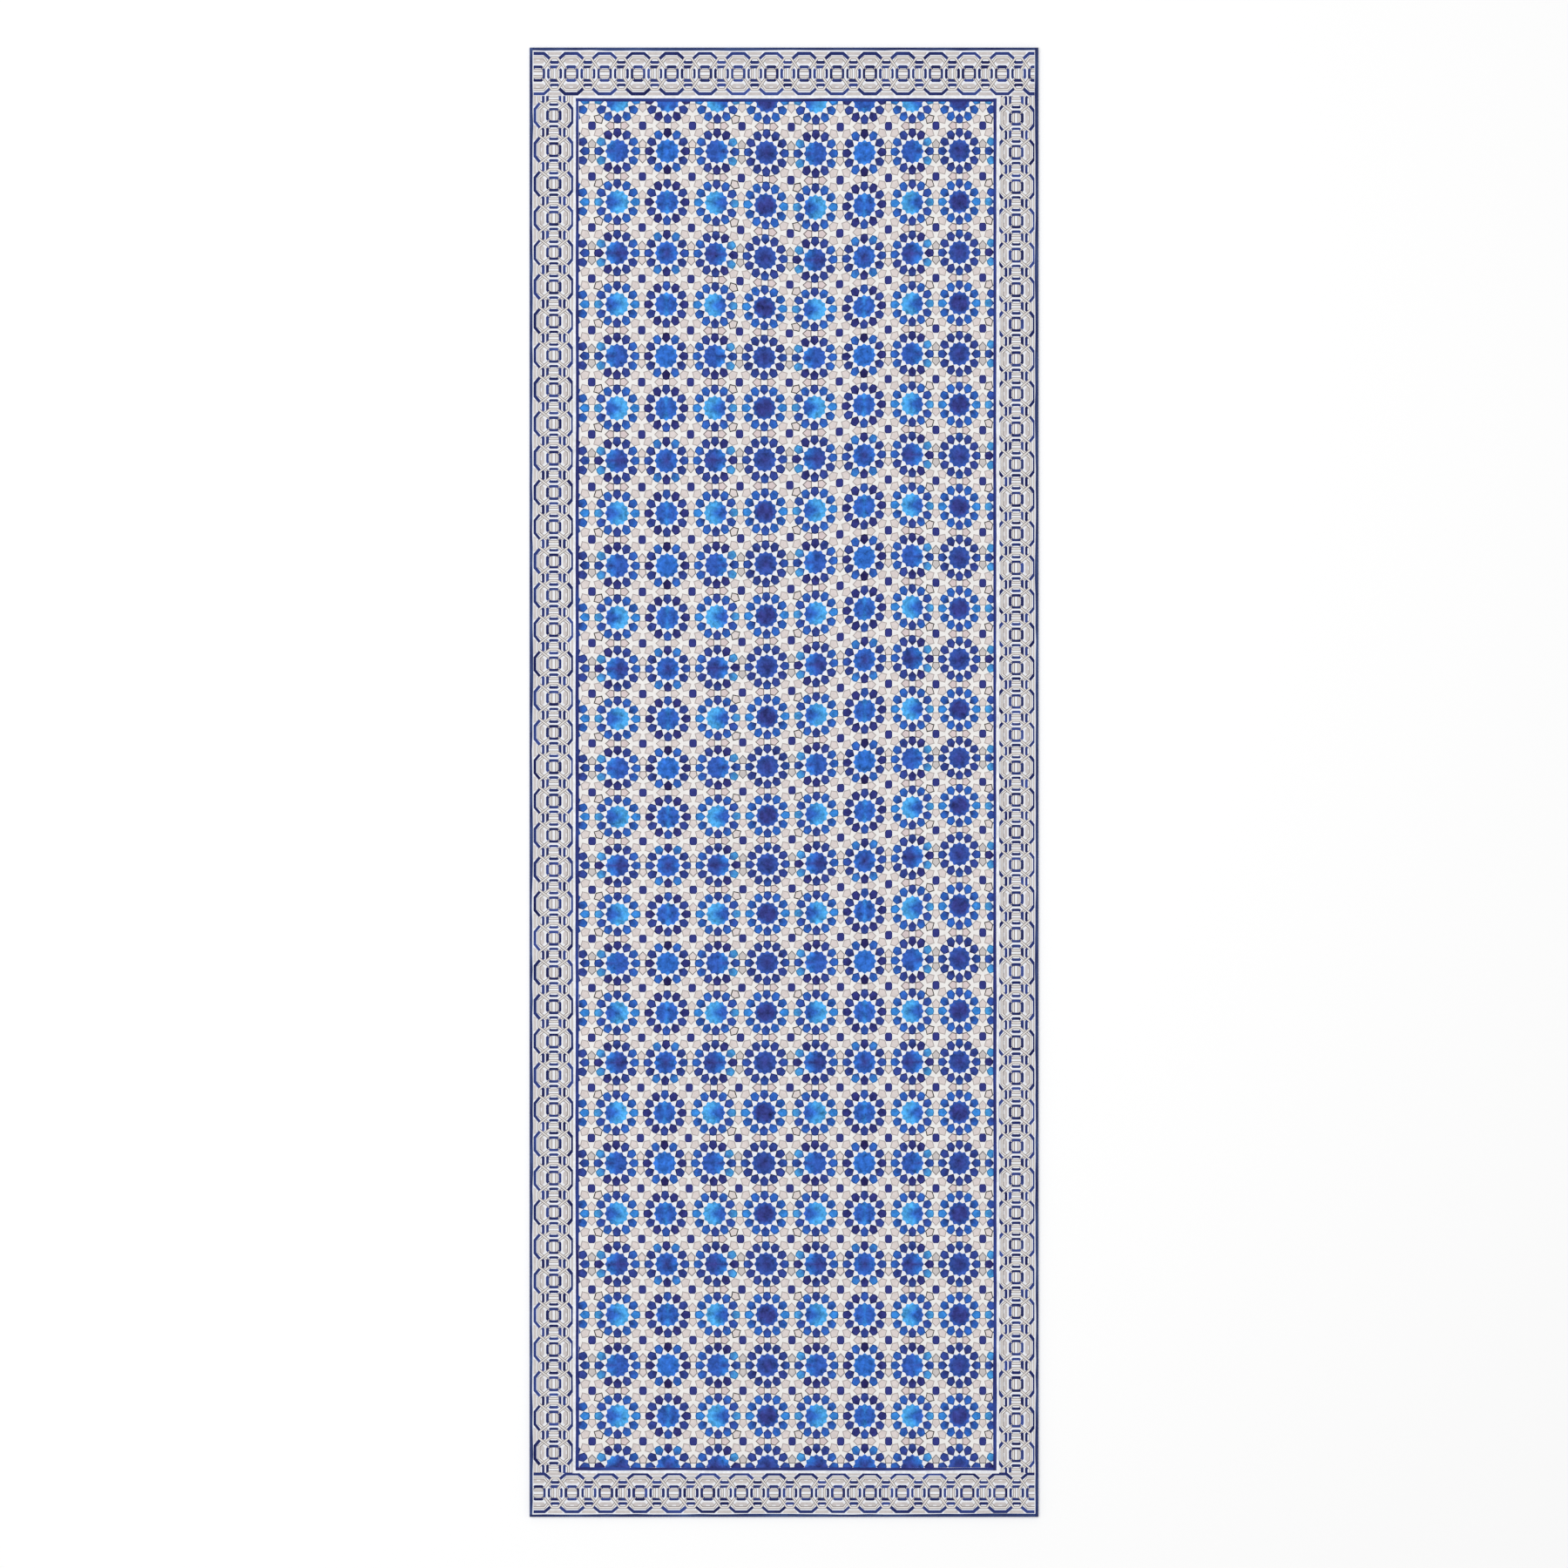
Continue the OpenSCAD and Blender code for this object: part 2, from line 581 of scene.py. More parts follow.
    def pentagons(self, col: int, row: int) -> list[Tile]:
        """Lays the eight pale pentagons round a lattice place.

        Args:
            col: The lattice column.
            row: The lattice row.

        Returns:
            Four that point at the octagon and four set slantwise.
        """
        tiles = []
        for sign in (1, -1):
            across = [self.spot(col, row, sign * u, v) for u, v in self.arrow]
            deep = self.kind(col if sign > 0 else col - 1) is not Kind.BRIGHT
            tiles.append(self.pale_tile(across, Dye.ROSE if deep else Dye.SAND, 1.0 if deep else 0.6))
            along = [self.spot(col, row, v, sign * u) for u, v in self.arrow]
            stony = Kind.DEEP in (self.kind(col), self.kind(col - 1))
            even = (row - (1 if sign > 0 else 0)) % 2 == 0
            dye = Dye.STONE if stony and even else Dye.SAND
            tiles.append(self.pale_tile(along, dye, 0.9 if even else 0.55))
            for up in (1, -1):
                slant = [self.spot(col, row, sign * u, up * v) for u, v in self.slant]
                beside = col if sign > 0 else col - 1
                mirrored = beside % 4 == 0
                lively = self.kind(beside) is Kind.LIVELY and (row - (1 if up > 0 else 0)) % 2 == 1
                dark = lively and (sign < 0) != mirrored
                tiles.append(self.pale_tile(slant, Dye.SAND, 1.3 if dark else 0.5))
        return tiles

    def pale_tile(self, outline: list[Point], dye: Dye, outlined: float) -> Tile:
        """Makes a pale tile with a taupe line round it."""
        heart = tuple(np.mean(outline, axis=0))
        return Tile(outline, plain(dye), wash=0.22, outlined=outlined, heart=heart)

    def tiles(self) -> list[Tile]:
        """Lays the whole field, from the bottom up."""
        laid = []
        for row in range(self.last_row + 1):
            for col in range(self.first_col + 1, self.last_col + 1):
                laid += self.pentagons(col, row)
                laid.append(self.octagon_tile(col, row))
        for row in range(-1, self.last_row + 1):
            for col in range(self.first_col, self.last_col + 1):
                laid += self.rosette(col, row)
        return laid


# ---------------------------------------------------------------- the border chains

# The chain's unit is drawn in millimetres from an octagon's centre, across the chain and along it.
UNIT = 46.2
HALF_UNIT = UNIT / 2
STROKE_WIDTH = 3.7
STRAP_EDGE_WIDTH = 3.7
STRAP_WIDTH = 1.9
OCTAGON_STROKE = ((19.0, -16.4), (25.4, -8.5), (25.4, 8.5), (19.0, 16.4))
OCTAGON_LOOP = ((0.0, -19.9), (4.9, -19.9), (19.9, -8.2), (19.9, 8.2), (4.9, 19.9), (0.0, 19.9))
ZIGZAG = ((19.9, -HALF_UNIT), (19.9, -19.0), (4.0, -6.5), (4.0, 6.5), (19.9, 19.0), (19.9, HALF_UNIT))
HEX_RING = ((12.6, -7.0), (17.0, -10.8), (21.6, -7.0), (21.6, 7.0), (17.0, 10.8), (12.6, 7.0))
HEX_SLOT = ((16.3, -2.6), (17.6, -2.6), (17.6, 2.6), (16.3, 2.6))
POCKET = ((23.4, 14.6), (27.4, 12.6), (27.4, UNIT - 12.6), (23.4, UNIT - 14.6))


@dataclass(frozen=True)
class Dash:
    """A short stroke with its two ends turned.

    Attributes:
        across: Its middle, across the chain.
        along: Its middle, along the chain.
        half: Half its length.
        width: Its width.
        lean: How far its ends turn outwards, away from its own centre line.
        crosswise: Whether it lies across the chain.
    """

    across: float
    along: float
    half: float
    width: float
    lean: float
    crosswise: bool = False

    def line(self) -> list[Point]:
        """Draws its middle line, across and along the chain."""
        ends = ((-1, 1.0), (-0.72, 0.0), (0.72, 0.0), (1, 1.0))
        if self.crosswise:
            return [(self.across + self.half * s, self.along + self.lean * t) for s, t in ends]
        return [(self.across + self.lean * t, self.along + self.half * s) for s, t in ends]


def unit_dashes() -> list[Dash]:
    """Lists the dashes of one unit of the chain."""
    dashes = []
    for s in (1, -1):
        dashes.append(Dash(8.5 * s, 0, 6.3, 3.5, -1.3 * s))
        dashes.append(Dash(8.5 * s, HALF_UNIT, 6.0, 3.5, -1.1 * s))
        dashes.append(Dash(14.2 * s, HALF_UNIT, 6.0, 3.3, 1.4 * s))
        dashes.append(Dash(0, 8.4 * s, 5.9, 3.2, -1.5 * s, True))
        dashes.append(Dash(0, 14.5 * s, 5.9, 3.2, 1.3 * s, True))
    return dashes


@dataclass(frozen=True)
class Chain:
    """One border chain of interlaced octagons.

    Attributes:
        axis: The place of its middle line across the border.
        first: Where the first octagon's centre is, along the border.
        step: From one octagon's centre to the next, negative towards the foot end.
        units: The numbers of its units, where one past either end is a cut one.
        widening: How much wider than the unit it is drawn.
        upright: Whether it runs along the rug.
        creeps: Where it has crept along the border.
    """

    axis: float
    first: float
    step: float
    units: range
    widening: float
    upright: bool
    creeps: tuple[Creep, ...] = ()

    def place(self, unit: int, across: float, along: float) -> Point:
        """Finds where a place on a unit lies on the cloth.

        Args:
            unit: The unit's number.
            across: Millimetres across the chain on the unit drawing.
            along: Millimetres along the chain on the unit drawing.

        Returns:
            X and Y on the cloth.
        """
        step = unit + along / UNIT
        run = self.first + step * self.step + sum(c.at(step, 0) for c in self.creeps)
        side = self.axis + across * self.widening
        return (side, run) if self.upright else (run, side)

    def band(self, unit: int, line: Sequence[Point], width: float) -> list[Point]:
        """Widens a line of the unit drawing into a band on the cloth."""
        return [self.place(unit, *p) for p in ribbon(line, width)]

    def pale(self, unit: int, outline: Sequence[Point], dye: Dye, sign: int) -> Tile:
        """Lays a pale patch of the unit drawing, on one side of the chain or the other."""
        return Tile([self.place(unit, sign * u, v) for u, v in outline], plain(dye), wash=0.25)

    def stroke(self, unit: int, line: Sequence[Point], width: float, rng: random.Random) -> Tile:
        """Lays a blue brush stroke whose tone changes from one end to the other.

        Args:
            unit: The unit's number.
            line: The stroke's middle line on the unit drawing.
            width: Its width.
            rng: Where its two tones come from.

        Returns:
            The stroke.
        """
        outline = self.band(unit, line, width * rng.uniform(0.98, 1.2))
        start, end = self.place(unit, *line[0]), self.place(unit, *line[-1])
        length = math.dist(start, end)
        tone = rng.triangular(0.0, 0.85, 0.08)
        drift = rng.uniform(-0.3, 0.3)
        dark, pale = Dye.LINE_DARK.colour, Dye.LINE_PALE.colour

        def paint(x: float, y: float) -> Colour:
            """Runs a little darker or paler along the stroke."""
            return blend(dark, pale, tone + drift * math.dist(start, (x, y)) / length)

        return Tile(outline, paint, wash=0.5)

    def straps(self, unit: int, sign: int) -> list[Tile]:
        """Lays one side of the unit's two straps: the octagon loop, and the zigzag over it."""
        laid = []
        for line in (OCTAGON_LOOP, ZIGZAG):
            sided = [(sign * u, v) for u, v in line]
            laid.append(Tile(self.band(unit, sided, STRAP_EDGE_WIDTH), plain(Dye.STRAP_EDGE), wash=0.3))
            laid.append(Tile(self.band(unit, sided, STRAP_WIDTH), plain(Dye.STRAP), wash=0.2))
        return laid

    def unit_tiles(self, unit: int, rng: random.Random) -> list[Tile]:
        """Lays one unit of the chain.

        Args:
            unit: The unit's number.
            rng: Where the strokes' tones come from.

        Returns:
            Its tiles, from the bottom up.
        """
        laid = []
        for s in (1, -1):
            laid.append(self.pale(unit, POCKET, Dye.STONE, s))
            laid.append(self.pale(unit, HEX_RING, Dye.STONE, s))
            laid.append(self.pale(unit, HEX_SLOT, Dye.SNOW, s))
            laid.append(self.pale(unit, rectangle_at(3.0, 0, 1.4, 6.4), Dye.STONE, s))
            laid.append(self.pale(unit, rectangle_at(0, HALF_UNIT + 2.8 * s, 6.2, 1.4), Dye.STONE, 1))
            laid.append(self.pale(unit, rectangle_at(13.0, HALF_UNIT, 1.0, 5.0), Dye.SAND, s))
        for s in (1, -1):
            laid += self.straps(unit, s)
        for s in (1, -1):
            laid.append(self.stroke(unit, [(s * u, v) for u, v in OCTAGON_STROKE], STROKE_WIDTH, rng))
        for dash in unit_dashes():
            laid.append(self.stroke(unit, dash.line(), dash.width, rng))
        return laid

    def tiles(self, rng: random.Random) -> list[Tile]:
        """Lays the whole chain."""
        return [tile for unit in self.units for tile in self.unit_tiles(unit, rng)]


def rectangle_at(across: float, along: float, half_across: float, half_along: float) -> list[Point]:
    """Gives the corners of a rectangle round a point."""
    return [(across + u, along + v) for u, v in rectangle(half_across, half_along)]


# ---------------------------------------------------------------- the whole print


@dataclass(frozen=True)
class Print:
    """The whole print on the face cloth, out to the rug's edge.

    Attributes:
        half_w: Half the rug's width.
        half_l: Half its length.
        left: The frame line's place on the left.
        right: Its place on the right.
        head: Its place at the head end.
        foot: Its place at the foot end.
        margin: Width of the white strip inside the edge line, from the rug's edge.
        tuck: How far the side chains run on past the frame, to meet the end chains.
        clear_line: Width of the white line outside the frame line.
        frame_line: Width of the frame line.
        frame_inset: How far inside the frame's place the frame line's middle lies.
        edge_line: Width of the line along the rug's edge.
        station: Length of one stretch of a hand-drawn line.
    """

    half_w: float
    half_l: float
    left: float = -280.6
    right: float = 286.2
    head: float = 921.5
    foot: float = -927.5
    margin: float = 5.4
    tuck: float = 3.6
    clear_line: float = 7.5
    frame_line: float = 4.3
    frame_inset: float = 2.0
    edge_line: float = 4.2
    station: float = 21.0
    field: Field = Field()
    left_chain: Chain = Chain(-310.3, 898.7, -UNIT, range(-1, 41), 1.0, True)
    right_chain: Chain = Chain(
        312.9, 895.2, -UNIT, range(-1, 41), 0.965, True,
        (Creep(-6.0, 12, 0, 4, 1), Creep(10.5, 22.5, 0, 3, 1), Creep(9.0, 34.5, 0, 2.4, 1)),
    )
    head_chain: Chain = Chain(
        955.0, -287.2, 44.7, range(-1, 15), 1.07, False, (Creep(2.0, 5, 0, 4, 1),)
    )
    foot_chain: Chain = Chain(
        -957.7, -287.2, 44.5, range(-1, 15), 1.0, False, (Creep(7.0, 5, 0, 4, 1),)
    )

    def stations(
        self, start: Point, end: Point, rng: random.Random, width: float, wave: float
    ) -> list[Point]:
        """Draws one edge of a line by hand: straight on the whole, and never quite.

        Args:
            start: Where it starts.
            end: Where it ends.
            rng: Where its waver comes from.
            width: How far it lies to the left of the straight from start to end.
            wave: How far it wavers either way.

        Returns:
            Its points.
        """
        way = Vector(end) - Vector(start)
        count = round(way.length / self.station)
        aside = Vector((-way.y, way.x)).normalized()
        slow = [rng.uniform(-1, 1) for _ in range(count // 5 + 3)]
        points = []
        for i in range(count + 1):
            k, share = divmod(i / 5, 1)
            sway = slow[int(k)] * (1 - share) + slow[int(k) + 1] * share
            shift = width + wave * (0.65 * sway + 0.35 * rng.uniform(-1, 1))
            points.append(tuple(Vector(start) + way * (i / count) + aside * shift))
        return points

    def drawn_line(
        self, corners: Sequence[Point], rng: random.Random, width: float, wave: float, dyes: tuple[Dye, Dye],
        straight_outside: bool,
    ) -> list[Tile]:
        """Draws a line round a rectangle, one tile for each stretch.

        Args:
            corners: The rectangle's corners, anticlockwise.
            rng: Where its waver and tone come from.
            width: Its width.
            wave: How far its edges waver.
            dyes: Its darkest and palest dye.
            straight_outside: Whether its outer edge is the rectangle itself.

        Returns:
            The tiles.
        """
        laid = []
        for start, end in sides_of(corners):
            along = (Vector(end) - Vector(start)).normalized()
            reach = along * (0.0 if straight_outside else width / 2)
            far_start, far_end = Vector(start) - reach, Vector(end) + reach
            if straight_outside:
                outer = self.stations(far_start, far_end, rng, 0.0, 0.0)
                inner = self.stations(far_start, far_end, rng, width, wave)
            else:
                outer = self.stations(far_start, far_end, rng, -width / 2, wave / 2)
                inner = self.stations(far_start, far_end, rng, width / 2, wave / 2)
            tones = [rng.triangular(0, 1, 0.25) for _ in range(len(outer) + 1)]
            paint, seed = self.toned(start, along, tones, dyes), rng.uniform(0, 40)
            for a, b, c, d in zip(outer, outer[1:], inner[1:], inner):
                laid.append(Tile([a, b, c, d], paint, wash=0.45, seed=seed))
        return laid

    def toned(self, start: Point, along: Vector, tones: Sequence[float], dyes: tuple[Dye, Dye]) -> Paint:
        """Gives a paint that changes tone along a line.

        Args:
            start: Where the line starts.
            along: Its direction.
            tones: Its tone at each station, 0 dark and 1 pale.
            dyes: Its darkest and palest dye.

        Returns:
            The paint.
        """
        origin = Vector(start)

        def paint(x: float, y: float) -> Colour:
            """Reads the tone of the station beside the point."""
            place = max((Vector((x, y)) - origin).dot(along) / self.station, 0.0)
            k = min(int(place), len(tones) - 2)
            tone = tones[k] + (tones[k + 1] - tones[k]) * min(place - k, 1.0)
            return blend(dyes[0].colour, dyes[1].colour, tone)

        return paint

    def strip(self, low: Point, high: Point) -> Tile:
        """Lays a white strip between two opposite corners."""
        outline = [high, (low[0], high[1]), low, (high[0], low[1])]
        return Tile(outline, plain(Dye.SNOW), wash=0.15)

    def tiles(self) -> list[Tile]:
        """Lays the whole print, from the bottom up."""
        rng = random.Random(SEED)
        w, h, m = self.half_w, self.half_l, self.margin
        ground = Tile(rectangle(w, h), plain(Dye.CREAM), wash=0.1)
        laid = [ground, *self.inside_field(self.field.tiles())]
        for low, high in (((-w, -h), (self.left, h)), ((self.right, -h), (w, h))):
            laid.append(self.strip(low, high))
        laid += self.left_chain.tiles(rng) + self.right_chain.tiles(rng)
        tuck = self.tuck
        for low, high in (
            ((self.left, self.head), (self.right, h)), ((-w, self.head + tuck), (w, h)),
            ((self.left, -h), (self.right, self.foot)), ((-w, -h), (w, self.foot - tuck)),
        ):
            laid.append(self.strip(low, high))
        laid += self.head_chain.tiles(rng) + self.foot_chain.tiles(rng)
        for low, high in (
            ((-w, -h), (m - w, h)), ((w - m, -h), (w, h)), ((-w, h - m), (w, h)), ((-w, -h), (w, m - h)),
        ):
            laid.append(self.strip(low, high))
        corners = [
            (self.right, self.head), (self.left, self.head), (self.left, self.foot), (self.right, self.foot),
        ]
        laid += self.drawn_line(corners, rng, self.clear_line, 1.2, (Dye.SNOW, Dye.SNOW), False)
        inset = self.frame_inset
        inner = [(x - math.copysign(inset, x), y - math.copysign(inset, y)) for x, y in corners]
        laid += self.drawn_line(inner, rng, self.frame_line, 1.4, (Dye.INK, Dye.INDIGO), False)
        edge_dyes = (Dye.LINE_DARK, Dye.SLATE)
        laid += self.drawn_line(rectangle(w, h), rng, self.edge_line, 1.2, edge_dyes, True)
        return laid

    def inside_field(self, tiles: Iterable[Tile]) -> list[Tile]:
        """Keeps the tiles that reach into the field."""
        return [
            tile for tile in tiles
            if any(self.left < x < self.right and self.foot < y < self.head for x, y in tile.outline)
        ]


# ---------------------------------------------------------------- meshes


@dataclass
class Skin:
    """Triangles of a printed mesh, in millimetres, with the dye and the wash at each corner."""

    corners: list[np.ndarray] = field(default_factory=list)
    dyes: list[np.ndarray] = field(default_factory=list)
    washes: list[np.ndarray] = field(default_factory=list)

    def add(self, corners: np.ndarray, dyes: np.ndarray, washes: np.ndarray) -> None:
        """Adds triangles.

        Args:
            corners: Their corners, three by three.
            dyes: Colour and line strength at each corner.
            washes: Nearness to the tile's line, the tile's seed and its wash, at each corner.
        """
        self.corners.append(corners)
        self.dyes.append(dyes)
        self.washes.append(washes)

    def add_plain(self, corners: Sequence[Sequence[Sequence[float]]], dye: Dye) -> None:
        """Adds triangles of one dye."""
        places = np.array(corners, float).reshape(-1, 3, 3)
        dyes = np.tile([*dye.colour, 0.0], (len(places), 3, 1))
        self.add(places, dyes, np.tile([0.0, 0.5, 0.2], (len(places), 3, 1)))

    def mesh(self, name: str) -> bpy.types.Mesh:
        """Joins the triangles into one mesh, in metres, with the print as corner attributes.

        Args:
            name: The mesh's name.

        Returns:
            The mesh.
        """
        corners = np.concatenate(self.corners)
        keys = np.round(corners.reshape(-1, 3) * 1000).astype(np.int64)
        _, first, index = np.unique(keys, axis=0, return_index=True, return_inverse=True)
        faces = index.reshape(-1, 3)
        sound = (faces[:, 0] != faces[:, 1]) & (faces[:, 1] != faces[:, 2]) & (faces[:, 2] != faces[:, 0])
        mesh = bpy.data.meshes.new(name)
        mesh.from_pydata(corners.reshape(-1, 3)[first] * MM, [], faces[sound].tolist())
        dye = mesh.attributes.new("print_dye", "FLOAT_COLOR", "CORNER")
        dye.data.foreach_set("color", np.concatenate(self.dyes)[sound].astype(np.float32).ravel())
        wash = mesh.attributes.new("print_wash", "FLOAT_VECTOR", "CORNER")
        wash.data.foreach_set("vector", np.concatenate(self.washes)[sound].astype(np.float32).ravel())
        mesh.shade_smooth()
        mesh.set_sharp_from_angle(angle=math.radians(50))
        return mesh


def shown(name: str, mesh: bpy.types.Mesh, material: bpy.types.Material) -> bpy.types.Object:
    """Puts a mesh in the scene as an object of one material, at the origin."""
    mesh.materials.clear()
    mesh.materials.append(material)
    piece = bpy.data.objects.new(name, mesh)
    bpy.context.scene.collection.objects.link(piece)
    return piece


def stand_for(piece: bpy.types.Object, node: str) -> bpy.types.Object:
    """Rides a piece on the rug in place of a CAD node."""
    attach(piece, ROOT)
    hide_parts(node)
    log.info("%s: %d faces, for %s", piece.name, len(piece.data.polygons), node)
    return piece


@dataclass(frozen=True)
class RugSize:
    """The rug's sizes that every piece needs, in millimetres, read from the frame's nodes."""

    width: float
    length: float
    thickness: float
    hem: float
    hem_t: float
    backing_top: float
    core_top: float
    pocket_w: float
    pocket_l: float

    @classmethod
    def from_frame(cls) -> "RugSize":
        """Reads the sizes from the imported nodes."""
        low, high = (Vector(v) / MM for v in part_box("face_cloth"))
        backing_low, backing_high = (Vector(v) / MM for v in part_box("backing_cloth"))
        _, core_high = (Vector(v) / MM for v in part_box("felt_core"))
        return cls(
            high.x - low.x, high.y - low.y, high.z - low.z, 25.0, backing_low.z, backing_high.z,
            core_high.z, 2 * backing_high.x, 2 * backing_high.y,
        )


@dataclass(frozen=True)
class FaceCloth:
    """The printed face cloth: its top, its turned edge, its mitred hem and the pocket inside.

    Attributes:
        size: The rug's sizes.
        turn_steps: How many flats the turned edge has from its top to its side.
        stitch_inset: The stitch line's distance from the rug's edge.
        groove_half: Half the width of the groove that the thread lies in.
        groove_t: Its depth.
        groove_slope: How far each of its walls leans.
        mitre_half: Half the width of the slit along each mitre.
        mitre_t: Its depth.
        mitre_start: How far in from the rug's edge the slit starts.
        room: Space between the pocket and what lies in it.
    """

    size: RugSize
    turn_steps: int = 5
    stitch_inset: float = 18.0
    groove_half: float = 0.42
    groove_t: float = 0.9
    groove_slope: float = 0.12
    mitre_half: float = 0.3
    mitre_t: float = 0.9
    mitre_start: float = 2.0
    room: float = 0.1

    @property
    def half_w(self) -> float:
        """Half the rug's width."""
        return self.size.width / 2

    @property
    def half_l(self) -> float:
        """Half the rug's length."""
        return self.size.length / 2

    @property
    def radius(self) -> float:
        """The radius of the turned edge."""
        return self.size.thickness / 2

    def turn_insets(self) -> list[float]:
        """Lists how far in from the rug's edge the turned edge bends."""
        quarter = math.pi / 2 / self.turn_steps
        return [self.radius * (1 - math.cos(quarter * i)) for i in range(1, self.turn_steps + 1)]

    def inset(self, points: np.ndarray) -> np.ndarray:
        """Measures how far in from the rug's edge each point lies."""
        gaps = np.abs(points[:, :2])
        return np.minimum(self.half_w - gaps[:, 0], self.half_l - gaps[:, 1]).clip(0)

    def drop(self, inset: np.ndarray) -> np.ndarray:
        """Works out how far the turned edge has dropped away from the flat."""
        away = self.radius - inset.clip(0, self.radius)
        return self.radius - np.sqrt(np.maximum(self.radius ** 2 - away ** 2, 0))

    def turn_lines(self) -> list[tuple[Point, Point]]:
        """Lists the lines along which the turned edge bends."""
        lines = []
        for d in self.turn_insets():
            lines += sides_of(rectangle(self.half_w - d, self.half_l - d))
        return lines

    def top(self, skin: Skin) -> np.ndarray:
        """Adds the printed top and the upper half of the turned edge.

        Args:
            skin: Where the triangles go.

        Returns:
            The cut points on the rug's outline, anticlockwise.
        """
        tiles = Print(self.half_w, self.half_l).tiles()
        cut = cut_flat(tiles, self.turn_lines())
        inset = self.inset(cut.points)
        places = np.column_stack([cut.points, self.size.thickness - self.drop(inset)])
        rng = random.Random(SEED + 1)
        seeds = [rng.uniform(0, 40) if tile.seed is None else tile.seed for tile in tiles]
        cache: dict[tuple[int, int], tuple[list[float], list[float]]] = {}
        dyes, washes = [], []
        for owner, corners in zip(cut.owners.tolist(), cut.triangles.tolist(), strict=True):
            tile = tiles[owner]
            for corner in corners:
                if (owner, corner) not in cache:
                    x, y = cut.points[corner]
                    dye = [*tile.paint(x, y), tile.outlined]
                    cache[owner, corner] = (dye, [tile.rim(x, y), seeds[owner], tile.wash])
                dye, wash = cache[owner, corner]
                dyes.append(dye)
                washes.append(wash)
        skin.add(
            places[cut.triangles], np.array(dyes).reshape(-1, 3, 4), np.array(washes).reshape(-1, 3, 3)
        )
        log.info("print: %d tiles, %d triangles", len(tiles), len(cut.triangles))
        outer = np.unique(np.round(cut.points[inset < 1e-3], 5), axis=0)
        order = np.argsort(np.arctan2(outer[:, 1] * self.half_w / self.half_l, outer[:, 0]))
        return outer[order]

    def hem_lines(self) -> list[tuple[Point, Point]]:
        """Lists the lines of the underside: the turn, the groove, the mitres and the opening."""
        lines = self.turn_lines()
        for reach in (self.groove_half, self.groove_half - self.groove_slope):
            for d in (self.stitch_inset - reach, self.stitch_inset + reach):
                lines += sides_of(rectangle(self.half_w - d, self.half_l - d))
        lines += sides_of(self.opening())
        for sx, sy in rectangle(1, 1):
            for aside in (-self.mitre_half, 0.0, self.mitre_half):
                start, end = (
                    (sx * (self.half_w - d) + aside * sx, sy * (self.half_l - d) - aside * sy)
                    for d in (self.mitre_start, self.size.hem + 1)
                )
                lines.append((start, end))
        return lines

    def opening(self) -> list[Point]:
        """Gives the corners of the opening inside the hem."""
        return rectangle(self.half_w - self.size.hem, self.half_l - self.size.hem)

    def hem_height(self, points: np.ndarray) -> np.ndarray:
        """Works out the underside's height at each point, grooves and mitres included."""
        inset = self.inset(points)
        height = self.drop(inset)
        aside = np.abs((self.half_w - np.abs(points[:, 0])) - (self.half_l - np.abs(points[:, 1]))) / 2
        off_line = np.abs(inset - self.stitch_inset)
        in_groove = off_line < self.groove_half - self.groove_slope + 0.02
        in_mitre = (aside < 0.05) & (inset > self.mitre_start - 0.01)
        return np.maximum(height, np.where(in_groove, self.groove_t, np.where(in_mitre, self.mitre_t, 0)))

    def hem(self, skin: Skin, outer: np.ndarray) -> None:
        """Adds the lower half of the turned edge, the hem, and the pocket inside.

        Args:
            skin: Where the triangles go.
            outer: The top's points on the rug's outline, anticlockwise.
        """
        ground = Tile([tuple(p) for p in outer], plain(Dye.CREAM))
        cut = cut_flat([ground], self.hem_lines())
        w, h = self.half_w - self.size.hem, self.half_l - self.size.hem
        middles = np.abs(cut.points[cut.triangles].mean(axis=1))
        hem = cut.triangles[(middles[:, 0] > w) | (middles[:, 1] > h)][:, ::-1]
        places = np.column_stack([cut.points, self.hem_height(cut.points)])
        side = self.inset(cut.points[hem].mean(axis=1)) < self.radius * 0.42
        skin.add_plain(places[hem[side]], Dye.SLATE)
        skin.add_plain(places[hem[~side]], Dye.CREAM)
        gaps = np.maximum(np.abs(places[:, 0]) - w, np.abs(places[:, 1]) - h)
        used = np.zeros(len(places), bool)
        used[hem.ravel()] = True
        inner = places[used & (np.abs(gaps) < 1e-3)]
        order = np.argsort(np.arctan2(inner[:, 1] * w / h, inner[:, 0]))
        self.pocket(skin, inner[order])

    def pocket(self, skin: Skin, rim: np.ndarray) -> None:
        """Adds the hem's inner edge and the walls and ceiling of the pocket.

        Args:
            skin: Where the triangles go.
            rim: The points round the opening, anticlockwise.
        """
        w, h = self.half_w - self.size.hem, self.half_l - self.size.hem
        pocket_w = self.size.pocket_w / 2 + self.room
        pocket_l = self.size.pocket_l / 2 + self.room
        out = rim.copy()
        out[:, 0] *= pocket_w / w
        out[:, 1] *= pocket_l / h
        rings = [rim.copy() for _ in range(2)] + [out.copy() for _ in range(2)]
        for ring, z in zip(rings[1:], (self.size.hem_t, self.size.hem_t, self.size.core_top), strict=True):
            ring[:, 2] = z
        for low, high in zip(rings, rings[1:]):
            a, b, c, d = low, np.roll(low, -1, axis=0), np.roll(high, -1, axis=0), high
            skin.add_plain(np.stack([a, c, b], axis=1), Dye.CREAM)
            skin.add_plain(np.stack([a, d, c], axis=1), Dye.CREAM)
        ceiling = rings[-1]
        middle = np.tile([0.0, 0.0, self.size.core_top], (len(ceiling), 1))
        skin.add_plain(np.stack([ceiling, middle, np.roll(ceiling, -1, axis=0)], axis=1), Dye.CREAM)

